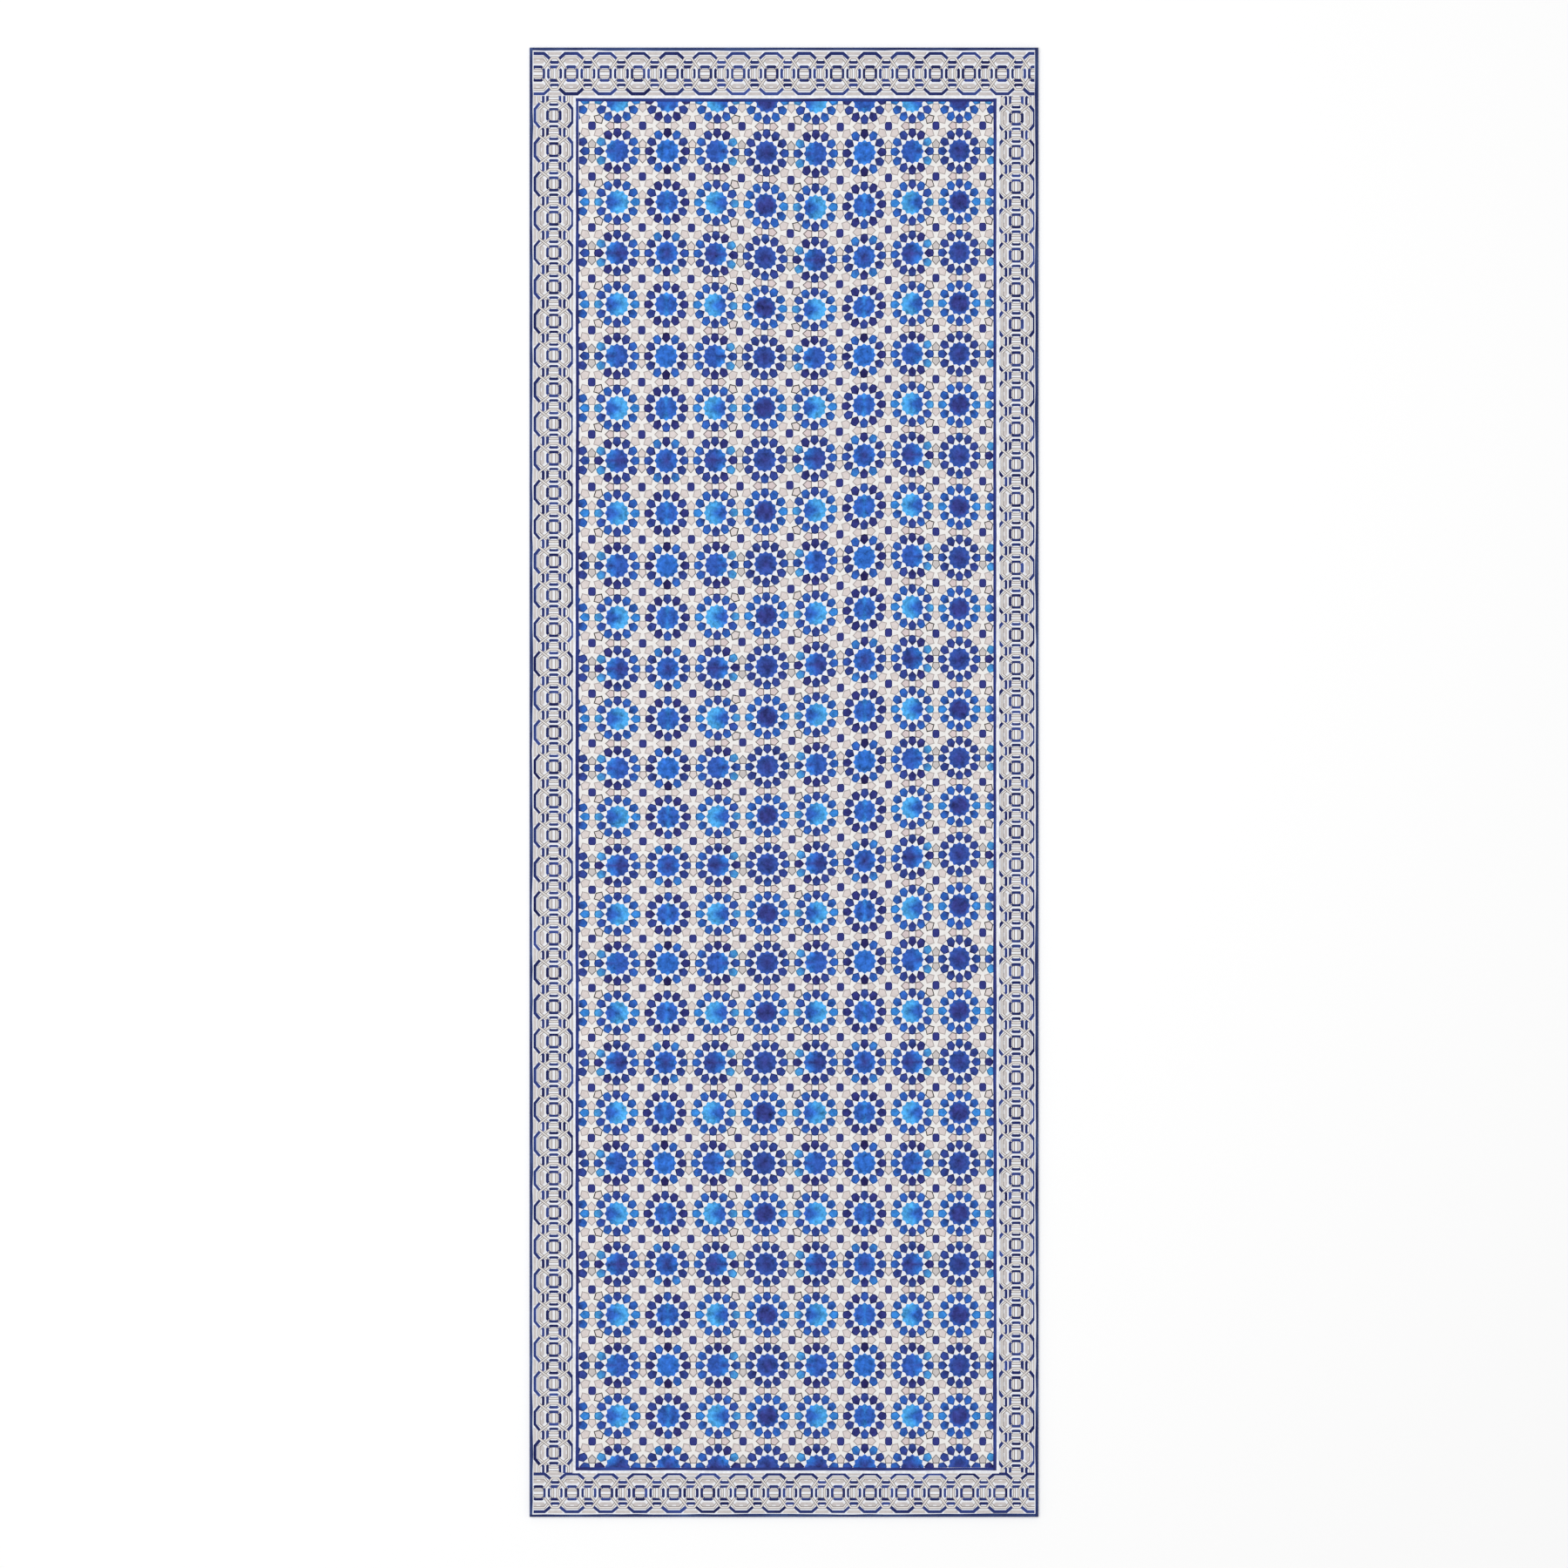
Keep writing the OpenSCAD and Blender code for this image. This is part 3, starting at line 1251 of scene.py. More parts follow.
    def build(self) -> bpy.types.Object:
        """Builds the cloth and stands it for its CAD node."""
        skin = Skin()
        self.hem(skin, self.top(skin))
        piece = shown("printed_face_cloth", skin.mesh("printed_face_cloth"), PrintedPile().material())
        return stand_for(piece, "face_cloth")


# ---------------------------------------------------------------- node trees

Inputs = dict[str | int, object]


def add_node(
    tree: bpy.types.NodeTree, kind: str, inputs: Inputs | None = None, **settings: object
) -> bpy.types.Node:
    """Adds a node, sets it up and links it.

    Args:
        tree: The tree that it goes in.
        kind: The node's type.
        inputs: For each input, by name or number, a value or the socket that it is linked from.
        **settings: The node's own settings.

    Returns:
        The node.
    """
    node = tree.nodes.new(kind)
    for name, value in settings.items():
        setattr(node, name, value)
    for key, value in (inputs or {}).items():
        if isinstance(value, bpy.types.NodeSocket):
            tree.links.new(value, node.inputs[key])
        else:
            node.inputs[key].default_value = value
    return node


def new_material(name: str, shader: dict[str, float]) -> tuple[bpy.types.Material, bpy.types.Node]:
    """Starts a material.

    Args:
        name: Its name.
        shader: Constant values on the shader's own sockets.

    Returns:
        The material and its shader node.
    """
    material = bpy.data.materials.new(name)
    material.use_nodes = True
    tree = material.node_tree
    tree.nodes.clear()
    principled = add_node(tree, "ShaderNodeBsdfPrincipled", dict(shader))
    add_node(tree, "ShaderNodeOutputMaterial", {"Surface": principled.outputs["BSDF"]})
    return material, principled


def noise(
    tree: bpy.types.NodeTree, where: bpy.types.NodeSocket, grain_mm: float, detail: float = 2.0,
    seed: object = 0.0,
) -> bpy.types.NodeSocket:
    """Adds a cloudy pattern whose blotches are about grain_mm across.

    Args:
        tree: The tree that it goes in.
        where: The coordinates.
        grain_mm: The size of a blotch.
        detail: How much finer pattern lies in it.
        seed: Which of many like patterns it is.

    Returns:
        The pattern, from 0 to 1 and mostly near a half.
    """
    node = add_node(
        tree, "ShaderNodeTexNoise",
        {"Vector": where, "W": seed, "Scale": 1 / (grain_mm * MM), "Detail": detail, "Roughness": 0.55},
        noise_dimensions="4D",
    )
    return node.outputs["Fac"]


def remap(
    tree: bpy.types.NodeTree, value: bpy.types.NodeSocket, old: tuple[float, float], new: tuple[float, float],
    smooth: bool = False,
) -> bpy.types.NodeSocket:
    """Stretches one range of a value to another, and holds it there."""
    node = add_node(
        tree, "ShaderNodeMapRange",
        {"Value": value, "From Min": old[0], "From Max": old[1], "To Min": new[0], "To Max": new[1]},
        interpolation_type="SMOOTHSTEP" if smooth else "LINEAR",
    )
    return node.outputs["Result"]


def math_of(
    tree: bpy.types.NodeTree, what: str, a: object, b: object, c: object = 0.0
) -> bpy.types.NodeSocket:
    """Works out one sum of two or three values."""
    return add_node(tree, "ShaderNodeMath", {0: a, 1: b, 2: c}, operation=what).outputs[0]


def scaled(tree: bpy.types.NodeTree, colour: bpy.types.NodeSocket, by: object) -> bpy.types.NodeSocket:
    """Makes a colour lighter or darker by a factor."""
    node = add_node(tree, "ShaderNodeVectorMath", {0: colour, "Scale": by}, operation="SCALE")
    return node.outputs["Vector"]


def mixed(tree: bpy.types.NodeTree, share: object, a: object, b: object) -> bpy.types.NodeSocket:
    """Mixes two colours."""
    node = add_node(tree, "ShaderNodeMix", {0: share, 6: a, 7: b}, data_type="RGBA")
    return node.outputs[2]


def bumped(
    tree: bpy.types.NodeTree, shader: bpy.types.Node, height: bpy.types.NodeSocket, depth_mm: float,
    strength: float,
) -> None:
    """Gives a shader a bump from a height pattern."""
    bump = add_node(
        tree, "ShaderNodeBump", {"Height": height, "Distance": depth_mm * MM, "Strength": strength}
    )
    tree.links.new(bump.outputs["Normal"], shader.inputs["Normal"])


def opaque(colour: Colour) -> tuple[float, float, float, float]:
    """Adds full strength to a colour."""
    return (*colour, 1.0)


# ---------------------------------------------------------------- finishes


@dataclass(frozen=True)
class PrintedPile:
    """Short flannel pile, polyester, transfer-printed in watercolour tones and brushed flat.

    The eye gets soft, uneven dye with darker lines where it has pooled, no gloss, and a faint
    bloom of light on the pile. The real pile is about 0.3 mm across and is drawn four times
    coarser, so that it shows.
    """

    blotch_mm: float = 7.5
    grain_mm: float = 2.6
    pile_mm: float = 1.2
    pile_t_mm: float = 0.5
    # size of the broad patches painted a little lighter and darker as the shading of brushed pile
    brushed_mm: float = 55.0
    depth: float = 0.46
    line_depth: float = 0.8

    def material(self) -> bpy.types.Material:
        """Builds the material."""
        material, shader = new_material(
            "transfer_printed_flannel_pile",
            {"Sheen Weight": 0.05, "Sheen Roughness": 0.4, "IOR": 1.45, "Specular IOR Level": 0.1},
        )
        tree = material.node_tree
        where = add_node(tree, "ShaderNodeTexCoord").outputs["Object"]
        dye = add_node(tree, "ShaderNodeAttribute", attribute_name="print_dye")
        wash = add_node(tree, "ShaderNodeAttribute", attribute_name="print_wash")
        rim, seed, amount = add_node(
            tree, "ShaderNodeSeparateXYZ", {"Vector": wash.outputs["Vector"]}
        ).outputs
        blotch = noise(tree, where, self.blotch_mm, 3.0, seed)
        grain = noise(tree, where, self.grain_mm, 2.0, seed)
        cloud = math_of(tree, "MULTIPLY_ADD", grain, 0.35, math_of(tree, "MULTIPLY", blotch, 0.65))
        swing = remap(tree, cloud, (0.3, 0.7), (-self.depth, self.depth))
        shade = math_of(tree, "MULTIPLY_ADD", swing, amount, 1.0)
        pooled = math_of(tree, "MULTIPLY_ADD", cloud, 0.35, rim)
        drawn = remap(tree, pooled, (0.86, 1.06), (0, 1), True)
        line = math_of(tree, "MULTIPLY", drawn, dye.outputs["Alpha"])
        darker = math_of(tree, "MULTIPLY_ADD", line, -self.line_depth, 1.0)
        pile = noise(tree, where, self.pile_mm, 1.0)
        brushed = noise(tree, where, self.brushed_mm, 1.0)
        # painted shade and light: a little darker where the pile pattern is low, as shade between the tufts,
        # and broad patches a little lighter and darker, as brushed pile looks in light
        pile_shade = math_of(
            tree, "MULTIPLY", remap(tree, pile, (0.25, 0.75), (0.95, 1.05)),
            remap(tree, brushed, (0.3, 0.7), (0.985, 1.015)),
        )
        tone = math_of(tree, "MULTIPLY", math_of(tree, "MULTIPLY", shade, darker), pile_shade)
        tree.links.new(scaled(tree, dye.outputs["Color"], tone), shader.inputs["Base Color"])
        tree.links.new(remap(tree, pile, (0.3, 0.7), (0.86, 0.98)), shader.inputs["Roughness"])
        bumped(tree, shader, pile, self.pile_t_mm, 0.35)
        return material


@dataclass(frozen=True)
class NeedledFelt:
    """Grey polyester felt, needle-punched: matted fibres with a soft, uneven, matt face, and painted shade
    darker in the low places of its fibre pattern.
    """

    fibre: str = "#b4b1ac"
    # painted shade: the colour of the fibre pattern's low places, where its bump is low
    hollow: str = "#95928d"
    fibre_mm: float = 1.4
    cloud_mm: float = 14.0

    def material(self) -> bpy.types.Material:
        """Builds the material."""
        material, shader = new_material(
            "needle_punched_felt", {"Sheen Weight": 0.2, "IOR": 1.5, "Specular IOR Level": 0.2}
        )
        tree = material.node_tree
        where = add_node(tree, "ShaderNodeTexCoord").outputs["Object"]
        drawn = add_node(
            tree, "ShaderNodeMapping", {"Vector": where, "Scale": (1.0, 0.35, 1.0)}
        ).outputs["Vector"]
        fibres = noise(tree, drawn, self.fibre_mm, 3.0)
        cloud = noise(tree, where, self.cloud_mm, 2.0)
        # the fibre pattern mixes the felt's colour with painted shade in its low places
        body = mixed(
            tree, remap(tree, fibres, (0.3, 0.7), (0, 1)),
            opaque(linear(self.hollow)), opaque(linear(self.fibre)),
        )
        tone = remap(tree, cloud, (0.3, 0.7), (0.93, 1.07))
        tree.links.new(scaled(tree, body, tone), shader.inputs["Base Color"])
        tree.links.new(remap(tree, fibres, (0.3, 0.7), (0.88, 0.98)), shader.inputs["Roughness"])
        bumped(tree, shader, fibres, 0.4, 0.5)
        return material


@dataclass(frozen=True)
class PlainWeave:
    """Unbleached polyester backing, plain-woven: threads over and under each other, matt, with painted shade
    darker where the threads sink between their crowns.

    The real threads are 0.7 mm apart and are drawn at 1.8 mm, so that the weave shows.
    """

    raised: str = "#ece7db"
    # painted shade: the colour where the threads sink between their crowns
    sunk: str = "#bdb5a4"
    thread_mm: float = 1.8
    slub_mm: float = 6.0

    def threads(self, tree: bpy.types.NodeTree, along: bpy.types.NodeSocket) -> bpy.types.NodeSocket:
        """Makes a row of rounded threads, from 0 between them to 1 on their crowns."""
        turns = math_of(tree, "MULTIPLY", along, math.pi / (self.thread_mm * MM))
        return math_of(tree, "ABSOLUTE", math_of(tree, "SINE", turns, 0.0), 0.0)

    def material(self) -> bpy.types.Material:
        """Builds the material."""
        material, shader = new_material(
            "plain_woven_backing", {"Sheen Weight": 0.08, "IOR": 1.5, "Specular IOR Level": 0.25}
        )
        tree = material.node_tree
        where = add_node(tree, "ShaderNodeTexCoord").outputs["Object"]
        x, y, _ = add_node(tree, "ShaderNodeSeparateXYZ", {"Vector": where}).outputs
        warp, weft = self.threads(tree, x), self.threads(tree, y)
        over = add_node(
            tree, "ShaderNodeTexChecker", {"Vector": where, "Scale": 1 / (self.thread_mm * MM)}
        ).outputs["Fac"]
        cross = math_of(tree, "MULTIPLY", math_of(tree, "SUBTRACT", warp, weft), over)
        crown = math_of(tree, "ADD", weft, cross)
        slub = noise(tree, where, self.slub_mm, 2.0)
        # the crowns take the thread's colour, and the low places between them the painted shade
        body = mixed(tree, crown, opaque(linear(self.sunk)), opaque(linear(self.raised)))
        tree.links.new(
            scaled(tree, body, remap(tree, slub, (0.3, 0.7), (0.93, 1.06))), shader.inputs["Base Color"]
        )
        tree.links.new(remap(tree, slub, (0.3, 0.7), (0.82, 0.94)), shader.inputs["Roughness"])
        bumped(tree, shader, crown, 0.3, 0.6)
        return material


@dataclass(frozen=True)
class MouldedRubber:
    """Pale thermoplastic rubber, moulded on hot: a soft skin with a low, cloudy shine."""

    colour: str = "#d9d4c6"
    dust: str = "#c3bdae"
    cloud_mm: float = 9.0
    skin_mm: float = 0.8

    def material(self) -> bpy.types.Material:
        """Builds the material."""
        material, shader = new_material("moulded_grip_rubber", {"IOR": 1.52, "Specular IOR Level": 0.5})
        tree = material.node_tree
        where = add_node(tree, "ShaderNodeTexCoord").outputs["Object"]
        cloud = noise(tree, where, self.cloud_mm, 2.0)
        skin = noise(tree, where, self.skin_mm, 1.0)
        share = remap(tree, cloud, (0.35, 0.7), (0, 0.6))
        body = mixed(tree, share, opaque(linear(self.colour)), opaque(linear(self.dust)))
        tree.links.new(body, shader.inputs["Base Color"])
        tree.links.new(remap(tree, cloud, (0.3, 0.7), (0.45, 0.62)), shader.inputs["Roughness"])
        bumped(tree, shader, skin, 0.05, 0.4)
        return material


@dataclass(frozen=True)
class SpunThread:
    """Spun polyester sewing thread, two-ply: fine slanting ridges with painted shade darker in the grooves
    between them, and a faint lustre.
    """

    colour: str = "#f3efe6"
    # painted shade: the colour in the grooves between the twist's ridges
    groove: str = "#cfc8ba"
    twist_mm: float = 0.5

    def material(self) -> bpy.types.Material:
        """Builds the material."""
        material, shader = new_material(
            "spun_polyester_thread", {"Sheen Weight": 0.25, "IOR": 1.5, "Specular IOR Level": 0.4}
        )
        tree = material.node_tree
        where = add_node(tree, "ShaderNodeTexCoord").outputs["Object"]
        twist = add_node(
            tree, "ShaderNodeTexWave",
            {"Vector": where, "Scale": 0.314 / (self.twist_mm * MM), "Distortion": 0.6},
            bands_direction="DIAGONAL",
        ).outputs["Fac"]
        # the twist mixes the thread's colour with the painted shade of its grooves
        body = mixed(tree, twist, opaque(linear(self.groove)), opaque(linear(self.colour)))
        tree.links.new(body, shader.inputs["Base Color"])
        tree.links.new(remap(tree, twist, (0, 1), (0.7, 0.55)), shader.inputs["Roughness"])
        bumped(tree, shader, twist, 0.08, 0.5)
        return material


# ---------------------------------------------------------------- what lies under the face cloth


@dataclass(frozen=True)
class Layer:
    """A flat layer of cloth or felt, with soft edges and a slightly uneven thickness.

    Attributes:
        half_w: Half its width.
        half_l: Half its length.
        low: The height of its underside.
        high: The height of its upper side.
        cell: The size of the patches that its thickness changes over.
        waver: How much thinner it gets.
    """

    half_w: float
    half_l: float
    low: float
    high: float
    cell: float = 48.0
    waver: float = 0.06

    def stations(self, half: float) -> list[float]:
        """Spreads points over a length, with two close to either end for the soft edge."""
        soft = (self.high - self.low) / 2
        count = round(2 * half / self.cell)
        inner = [-half + soft + (2 * half - 2 * soft) * i / count for i in range(count + 1)]
        return [-half, -half + soft * 0.3, *inner, half - soft * 0.3, half]

    def squeeze(self, x: float, y: float) -> float:
        """Says how much of the full thickness there is, 0 right at the edge."""
        soft = (self.high - self.low) / 2
        gap = min(self.half_w - abs(x), self.half_l - abs(y))
        away = max(1 - gap / soft, 0.0)
        return math.sqrt(max(1 - away * away, 0.0)) * 0.75 + 0.25

    def build(self, name: str) -> bpy.types.Mesh:
        """Builds the layer as one closed mesh.

        Args:
            name: The mesh's name.

        Returns:
            The mesh.
        """
        rng = random.Random(SEED + 2)
        xs, ys = self.stations(self.half_w), self.stations(self.half_l)
        middle, half_t = (self.low + self.high) / 2, (self.high - self.low) / 2
        sheets = []
        for sign in (-1, 1):
            for y in ys:
                for x in xs:
                    thin = rng.uniform(0, self.waver)
                    sheets.append((x, y, middle + sign * (half_t - thin) * self.squeeze(x, y)))
        wide, long = len(xs), len(ys)
        upper = wide * long
        faces = []
        for j in range(long - 1):
            for i in range(wide - 1):
                a = j * wide + i
                square = (a, a + 1, a + wide + 1, a + wide)
                faces += [square[::-1], tuple(upper + k for k in square)]
        rim = [*range(wide), *(j * wide + wide - 1 for j in range(1, long))]
        rim += [(long - 1) * wide + i for i in range(wide - 2, -1, -1)]
        rim += [j * wide for j in range(long - 2, 0, -1)]
        faces += [(a, b, upper + b, upper + a) for a, b in zip(rim, rim[1:] + rim[:1], strict=True)]
        mesh = bpy.data.meshes.new(name)
        mesh.from_pydata([tuple(c * MM for c in p) for p in sheets], [], faces)
        mesh.shade_smooth()
        return mesh


@dataclass(frozen=True)
class Underlay:
    """The needled felt core and the woven backing cloth."""

    size: RugSize

    def felt(self) -> bpy.types.Object:
        """Builds the felt core."""
        s = self.size
        layer = Layer(s.pocket_w / 2, s.pocket_l / 2, s.backing_top, s.core_top)
        mesh = layer.build("needled_felt_core")
        piece = shown("needled_felt_core", mesh, NeedledFelt().material())
        return stand_for(piece, "felt_core")

    def backing(self) -> bpy.types.Object:
        """Builds the backing cloth."""
        s = self.size
        layer = Layer(s.pocket_w / 2, s.pocket_l / 2, s.hem_t, s.backing_top, waver=0.03)
        mesh = layer.build("woven_backing_cloth")
        piece = shown("woven_backing_cloth", mesh, PlainWeave().material())
        return stand_for(piece, "backing_cloth")


# ---------------------------------------------------------------- geometry node trees


class Grower:
    """A Geometry Nodes tree with named inputs, run once and turned into a plain mesh."""

    def __init__(self, name: str, values: dict[str, float | int]) -> None:
        """Starts the tree.

        Args:
            name: Its name.
            values: Its inputs and what they are set to, in metres where they are lengths.
        """
        self.values = values
        self.tree = bpy.data.node_groups.new(name, "GeometryNodeTree")
        for label, value in values.items():
            kind = "NodeSocketInt" if isinstance(value, int) else "NodeSocketFloat"
            self.tree.interface.new_socket(label, in_out="INPUT", socket_type=kind)
        self.tree.interface.new_socket("Geometry", in_out="OUTPUT", socket_type="NodeSocketGeometry")
        self.inputs = self.tree.nodes.new("NodeGroupInput").outputs

    def add(self, kind: str, inputs: Inputs | None = None, **settings: object) -> bpy.types.Node:
        """Adds a node to the tree."""
        return add_node(self.tree, kind, inputs, **settings)

    def finish(self, instances: bpy.types.NodeSocket, material: bpy.types.Material) -> None:
        """Ends the tree in real, smooth, dressed geometry."""
        real = self.add("GeometryNodeRealizeInstances", {"Geometry": instances}).outputs[0]
        smooth = self.add("GeometryNodeSetShadeSmooth", {"Geometry": real}).outputs[0]
        dressed = self.add("GeometryNodeSetMaterial", {"Geometry": smooth, "Material": material})
        self.add("NodeGroupOutput", {"Geometry": dressed.outputs[0]})

    def grow(self, name: str, material: bpy.types.Material) -> bpy.types.Object:
        """Runs the tree.

        Args:
            name: The piece's name.
            material: Its material.

        Returns:
            A plain mesh object at the origin.
        """
        seed = bpy.data.objects.new(name + "_seed", bpy.data.meshes.new(name + "_seed"))
        bpy.context.scene.collection.objects.link(seed)
        modifier = seed.modifiers.new("grow", "NODES")
        modifier.node_group = self.tree
        for item in self.tree.interface.items_tree:
            if item.in_out == "INPUT":
                modifier[item.identifier] = self.values[item.name]
        grown = seed.evaluated_get(bpy.context.evaluated_depsgraph_get())
        mesh = bpy.data.meshes.new_from_object(grown)
        mesh.name = name
        bpy.data.objects.remove(seed)
        return shown(name, mesh, material)


@dataclass(frozen=True)
class GripDots:
    """Low rubber dots moulded onto the backing, in a square grid inside the hem.

    Attributes:
        size: The rug's sizes.
        pitch: Distance between the dots.
        diameter: A dot's width on the cloth.
        crown: Its width at the bottom, where it meets the floor.
        margin: Clear strip between the hem and the dots.
        sides: How many flats go round a dot.
    """

    size: RugSize
    pitch: float = 12.5
    diameter: float = 4.5
    crown: float = 3.2
    margin: float = 10.0
    sides: int = 7

    def count(self, length: float) -> int:
        """Counts the dots along one side of the opening."""
        room = length - 2 * (self.size.hem + self.margin) - self.diameter
        return int(room // (4 * self.pitch)) * 4 + 1

    def build(self) -> bpy.types.Object:
        """Grows the dots and stands them for their CAD node."""
        material = MouldedRubber().material()
        across, along = self.count(self.size.width), self.count(self.size.length)
        grower = Grower("moulded_dots", {
            "Across": across, "Along": along, "Width": (across - 1) * self.pitch * MM,
            "Length": (along - 1) * self.pitch * MM, "Foot Radius": self.crown / 2 * MM,
            "Root Radius": self.diameter / 2 * MM, "Height": self.size.hem_t * MM,
            "Sides": self.sides, "Seed": SEED,
        })
        given = grower.inputs
        grid = grower.add("GeometryNodeMeshGrid", {
            "Size X": given["Width"], "Size Y": given["Length"],
            "Vertices X": given["Across"], "Vertices Y": given["Along"],
        })
        dot = grower.add("GeometryNodeMeshCone", {
            "Vertices": given["Sides"], "Radius Top": given["Root Radius"],
            "Radius Bottom": given["Foot Radius"], "Depth": given["Height"],
        }, fill_type="NGON")
        swing = grower.add(
            "FunctionNodeRandomValue", {"Min": (0, 0, 0), "Max": (0, 0, math.tau), "Seed": given["Seed"]},
            data_type="FLOAT_VECTOR",
        )
        swell = grower.add(
            "FunctionNodeRandomValue",
            {"Min": (0.93, 0.93, 1), "Max": (1.05, 1.05, 1), "Seed": given["Seed"]},
            data_type="FLOAT_VECTOR",
        )
        placed = grower.add("GeometryNodeInstanceOnPoints", {
            "Points": grid.outputs["Mesh"], "Instance": dot.outputs["Mesh"],
            "Rotation": swing.outputs[0], "Scale": swell.outputs[0],
        })
        grower.finish(placed.outputs["Instances"], material)
        return stand_for(grower.grow("moulded_grip_dots", material), "grip_dots")


@dataclass(frozen=True)
class HemStitches:
    """Four lines of lockstitch that hold the hem, sunk in the groove that the needle pulls.

    Attributes:
        stitch: From one needle hole to the next.
        gap: The part of it in which the thread dives into the cloth.
        thread: The thread's thickness.
        bow: How far a stitch's middle stands below its ends.
        end_height: The height of its ends above the floor.
    """

    stitch: float = 3.2
    gap: float = 0.35
    thread: float = 0.6
    bow: float = 0.36
    end_height: float = 0.66

    def build_line(self, node: str, material: bpy.types.Material) -> bpy.types.Object:
        """Grows one stitch line along its CAD node and stands it for the node.

        Args:
            node: The CAD node's name.
            material: The thread's material.

        Returns:
            The line of stitches.
        """
        low, high = (Vector(v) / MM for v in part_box(node))
        size, middle = high - low, (low + high) / 2
        length = max(size.x, size.y)
        count = int(length / self.stitch)
        grower = Grower(node + "_stitches", {
            "Count": count, "Stitch": self.stitch * MM, "Half Run": (self.stitch - self.gap) / 2 * MM,
            "Thread Radius": self.thread / 2 * MM, "Bow": self.bow * MM,
            "Start": -(count - 1) / 2 * self.stitch * MM,
            "Turn": math.pi / 2 if size.y > size.x else 0.0,
            "Place X": middle.x * MM, "Place Y": middle.y * MM, "Height": self.end_height * MM,
        })
        given = grower.inputs
        back = grower.add("ShaderNodeMath", {0: given["Half Run"], 1: -1.0}, operation="MULTIPLY")
        dip = grower.add("ShaderNodeMath", {0: given["Bow"], 1: -2.0}, operation="MULTIPLY")
        points = [
            grower.add("ShaderNodeCombineXYZ", inputs).outputs[0]
            for inputs in ({"X": back.outputs[0]}, {"Z": dip.outputs[0]}, {"X": given["Half Run"]})
        ]
        run = grower.add("GeometryNodeCurveQuadraticBezier", {
            "Resolution": 4, "Start": points[0], "Middle": points[1], "End": points[2],
        })
        ring = grower.add("GeometryNodeCurvePrimitiveCircle", {
            "Resolution": 6, "Radius": given["Thread Radius"],
        })
        strand = grower.add("GeometryNodeCurveToMesh", {
            "Curve": run.outputs[0], "Profile Curve": ring.outputs[0], "Fill Caps": True,
        })
        start = grower.add("ShaderNodeCombineXYZ", {"X": given["Start"]})
        step = grower.add("ShaderNodeCombineXYZ", {"X": given["Stitch"]})
        row = grower.add("GeometryNodeMeshLine", {
            "Count": given["Count"], "Start Location": start.outputs[0], "Offset": step.outputs[0],
        })
        placed = grower.add("GeometryNodeInstanceOnPoints", {
            "Points": row.outputs[0], "Instance": strand.outputs[0],
        })
        turn = grower.add("ShaderNodeCombineXYZ", {"Z": given["Turn"]})
        place = grower.add("ShaderNodeCombineXYZ", {
            "X": given["Place X"], "Y": given["Place Y"], "Z": given["Height"],
        })
        moved = grower.add("GeometryNodeTransform", {
            "Geometry": placed.outputs[0], "Translation": place.outputs[0], "Rotation": turn.outputs[0],
        })
        grower.finish(moved.outputs[0], material)
        return stand_for(grower.grow("sewn_" + node, material), node)

    def build(self) -> list[bpy.types.Object]:
        """Builds all four lines."""
        material = SpunThread().material()
        return [self.build_line("hem_stitch_" + side, material) for side in ("left", "right", "head", "foot")]


# ---------------------------------------------------------------- the studio


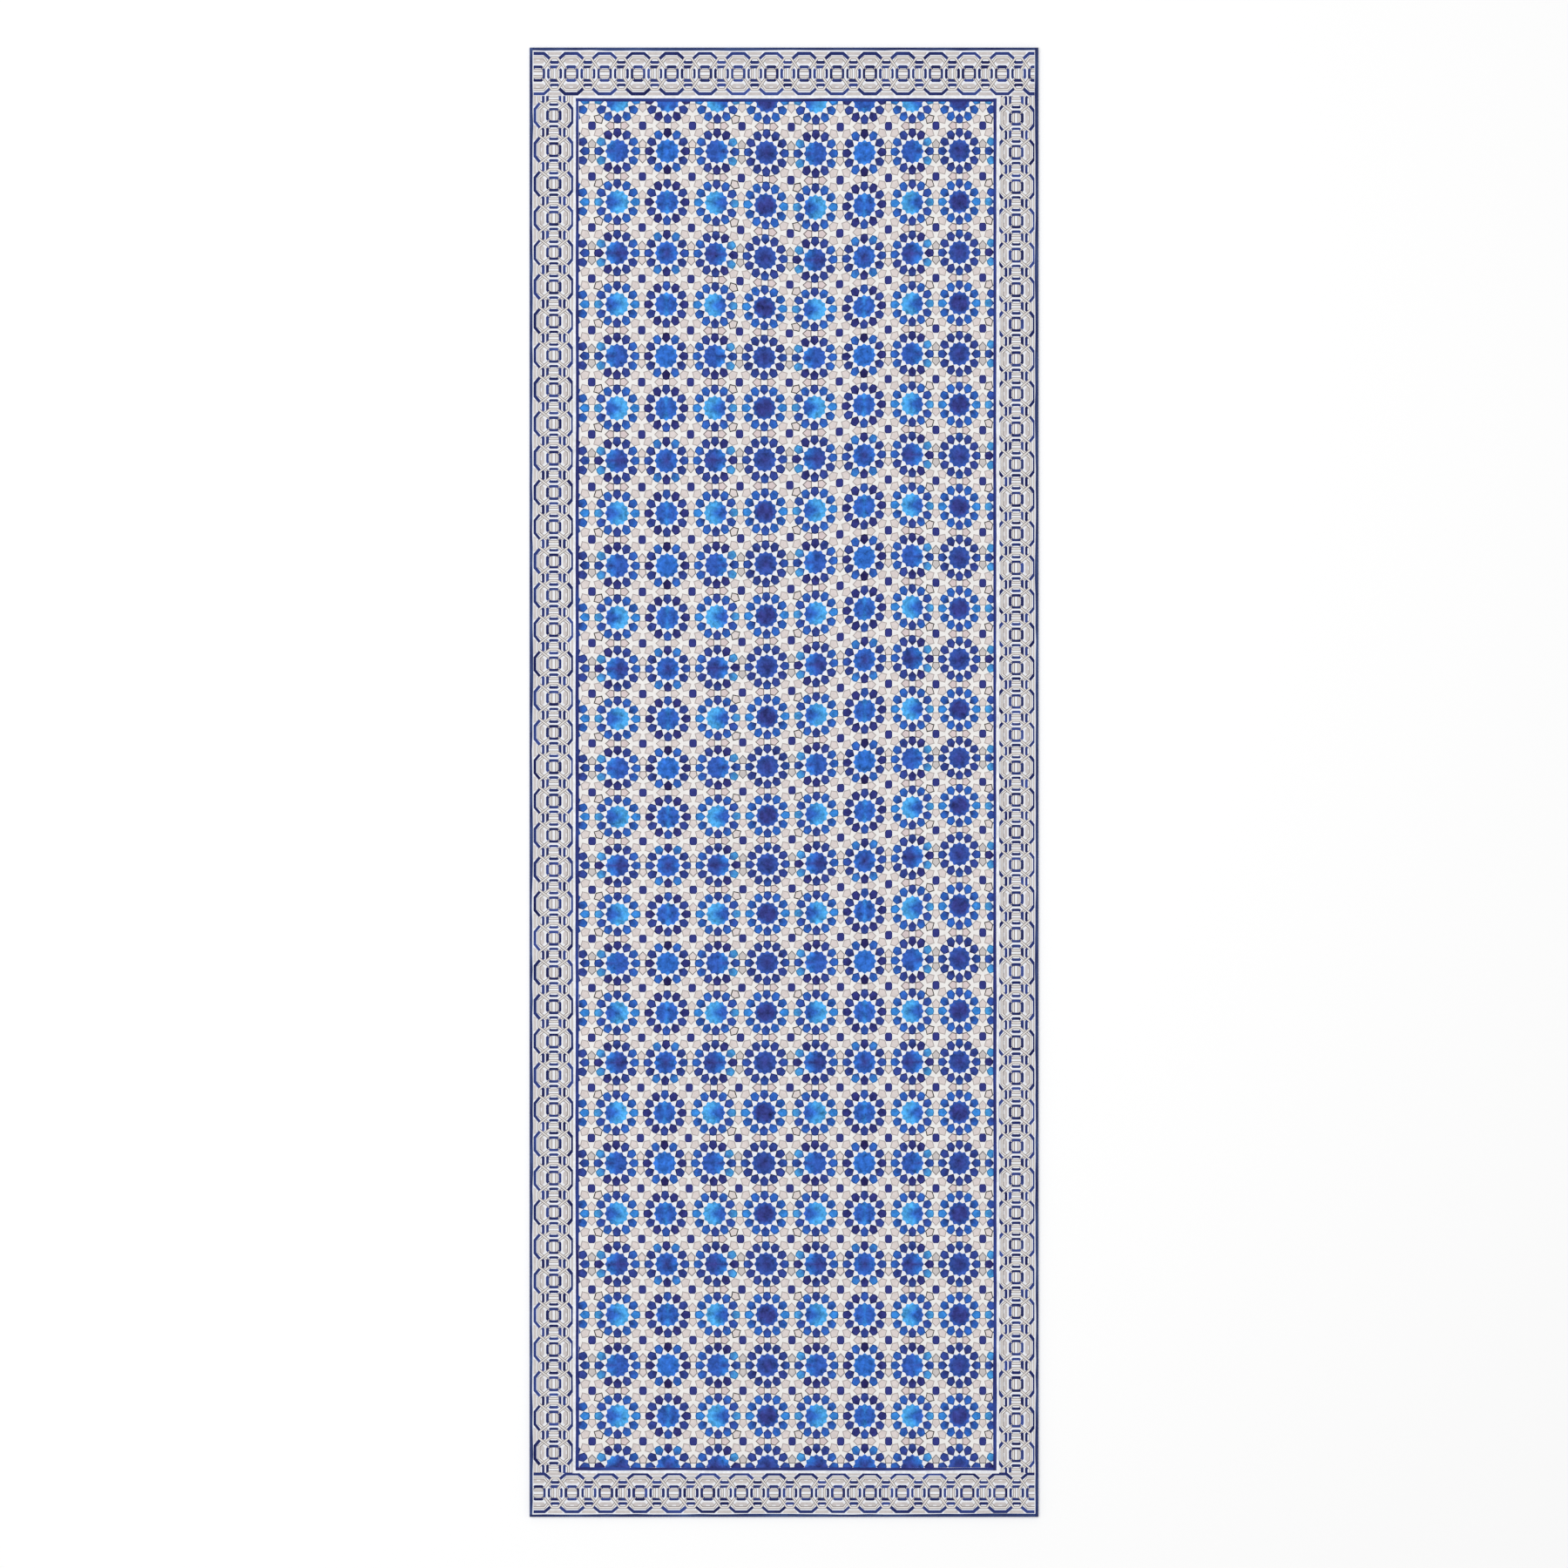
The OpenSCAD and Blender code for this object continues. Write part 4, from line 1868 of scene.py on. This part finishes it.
@dataclass(frozen=True)
class Studio:
    """A plain white floor, even soft light from above, and a camera looking straight down.

    Attributes:
        camera_height: The camera's height, in metres.
        camera_y: How far the camera is set off towards the head end.
        lens: Its focal length, in millimetres on a 36 mm sensor.
        floor: The floor's colour.
        floor_glow: A little light of its own, so that it stays white out to its corners.
        floor_half: Half the floor's width, in metres.
        sky: How bright the light from all round is.
        key: The power of the large lamp overhead, in watts.
        key_size: The lamp's width, in metres.
        key_place: Where the lamp hangs, in metres.
    """

    camera_height: float = 7.05
    camera_y: float = -0.00235
    lens: float = 120.0
    floor: str = "#fefefe"
    floor_glow: float = 0.1
    floor_half: float = 12.0
    sky: float = 0.41
    key: float = 232.0
    key_size: float = 6.0
    key_place: tuple[float, float, float] = (-1.0, 0.6, 5.5)

    def build(self) -> None:
        """Builds the floor, the light and the camera."""
        self.build_floor()
        self.build_light()
        self.build_camera()

    def build_floor(self) -> None:
        """Lays the floor just under the rug."""
        half = self.floor_half
        mesh = bpy.data.meshes.new("floor")
        mesh.from_pydata([(x * half, y * half, -0.0002) for x, y in rectangle(1, 1)], [], [(0, 1, 2, 3)])
        material, shader = new_material("matt_white_floor", {"Roughness": 0.9, "Specular IOR Level": 0.1})
        shader.inputs["Base Color"].default_value = opaque(linear(self.floor))
        shader.inputs["Emission Color"].default_value = opaque(linear(self.floor))
        shader.inputs["Emission Strength"].default_value = self.floor_glow
        shown("floor", mesh, material)

    def build_light(self) -> None:
        """Hangs the lamp and lights the room from all round."""
        scene = bpy.context.scene
        world = bpy.data.worlds.new("studio")
        world.use_nodes = True
        background = world.node_tree.nodes["Background"]
        background.inputs["Color"].default_value = (1, 1, 1, 1)
        background.inputs["Strength"].default_value = self.sky
        scene.world = world
        lamp = bpy.data.lights.new("key", "AREA")
        lamp.energy, lamp.size = self.key, self.key_size
        holder = bpy.data.objects.new("key", lamp)
        holder.location = self.key_place
        holder.rotation_euler = (-Vector(self.key_place)).to_track_quat("-Z", "Y").to_euler()
        holder.visible_camera = False
        scene.collection.objects.link(holder)
        scene.view_settings.view_transform = "Standard"

    def build_camera(self) -> None:
        """Hangs the camera over the rug."""
        camera = bpy.data.cameras.new("camera")
        camera.lens, camera.sensor_width = self.lens, 36.0
        holder = bpy.data.objects.new("camera", camera)
        holder.location = (0, self.camera_y, self.camera_height)
        bpy.context.scene.collection.objects.link(holder)
        bpy.context.scene.camera = holder


# ---------------------------------------------------------------- the rug


def main() -> None:
    """Builds the rug's pieces in order, and the studio round them."""
    logging.basicConfig(level=logging.INFO, format="%(name)s: %(message)s")
    size = RugSize.from_frame()
    Studio().build()
    underlay = Underlay(size)
    face = FaceCloth(size).build()
    felt, backing = underlay.felt(), underlay.backing()
    GripDots(size).build()
    HemStitches().build()


if __name__ == "__main__":
    main()
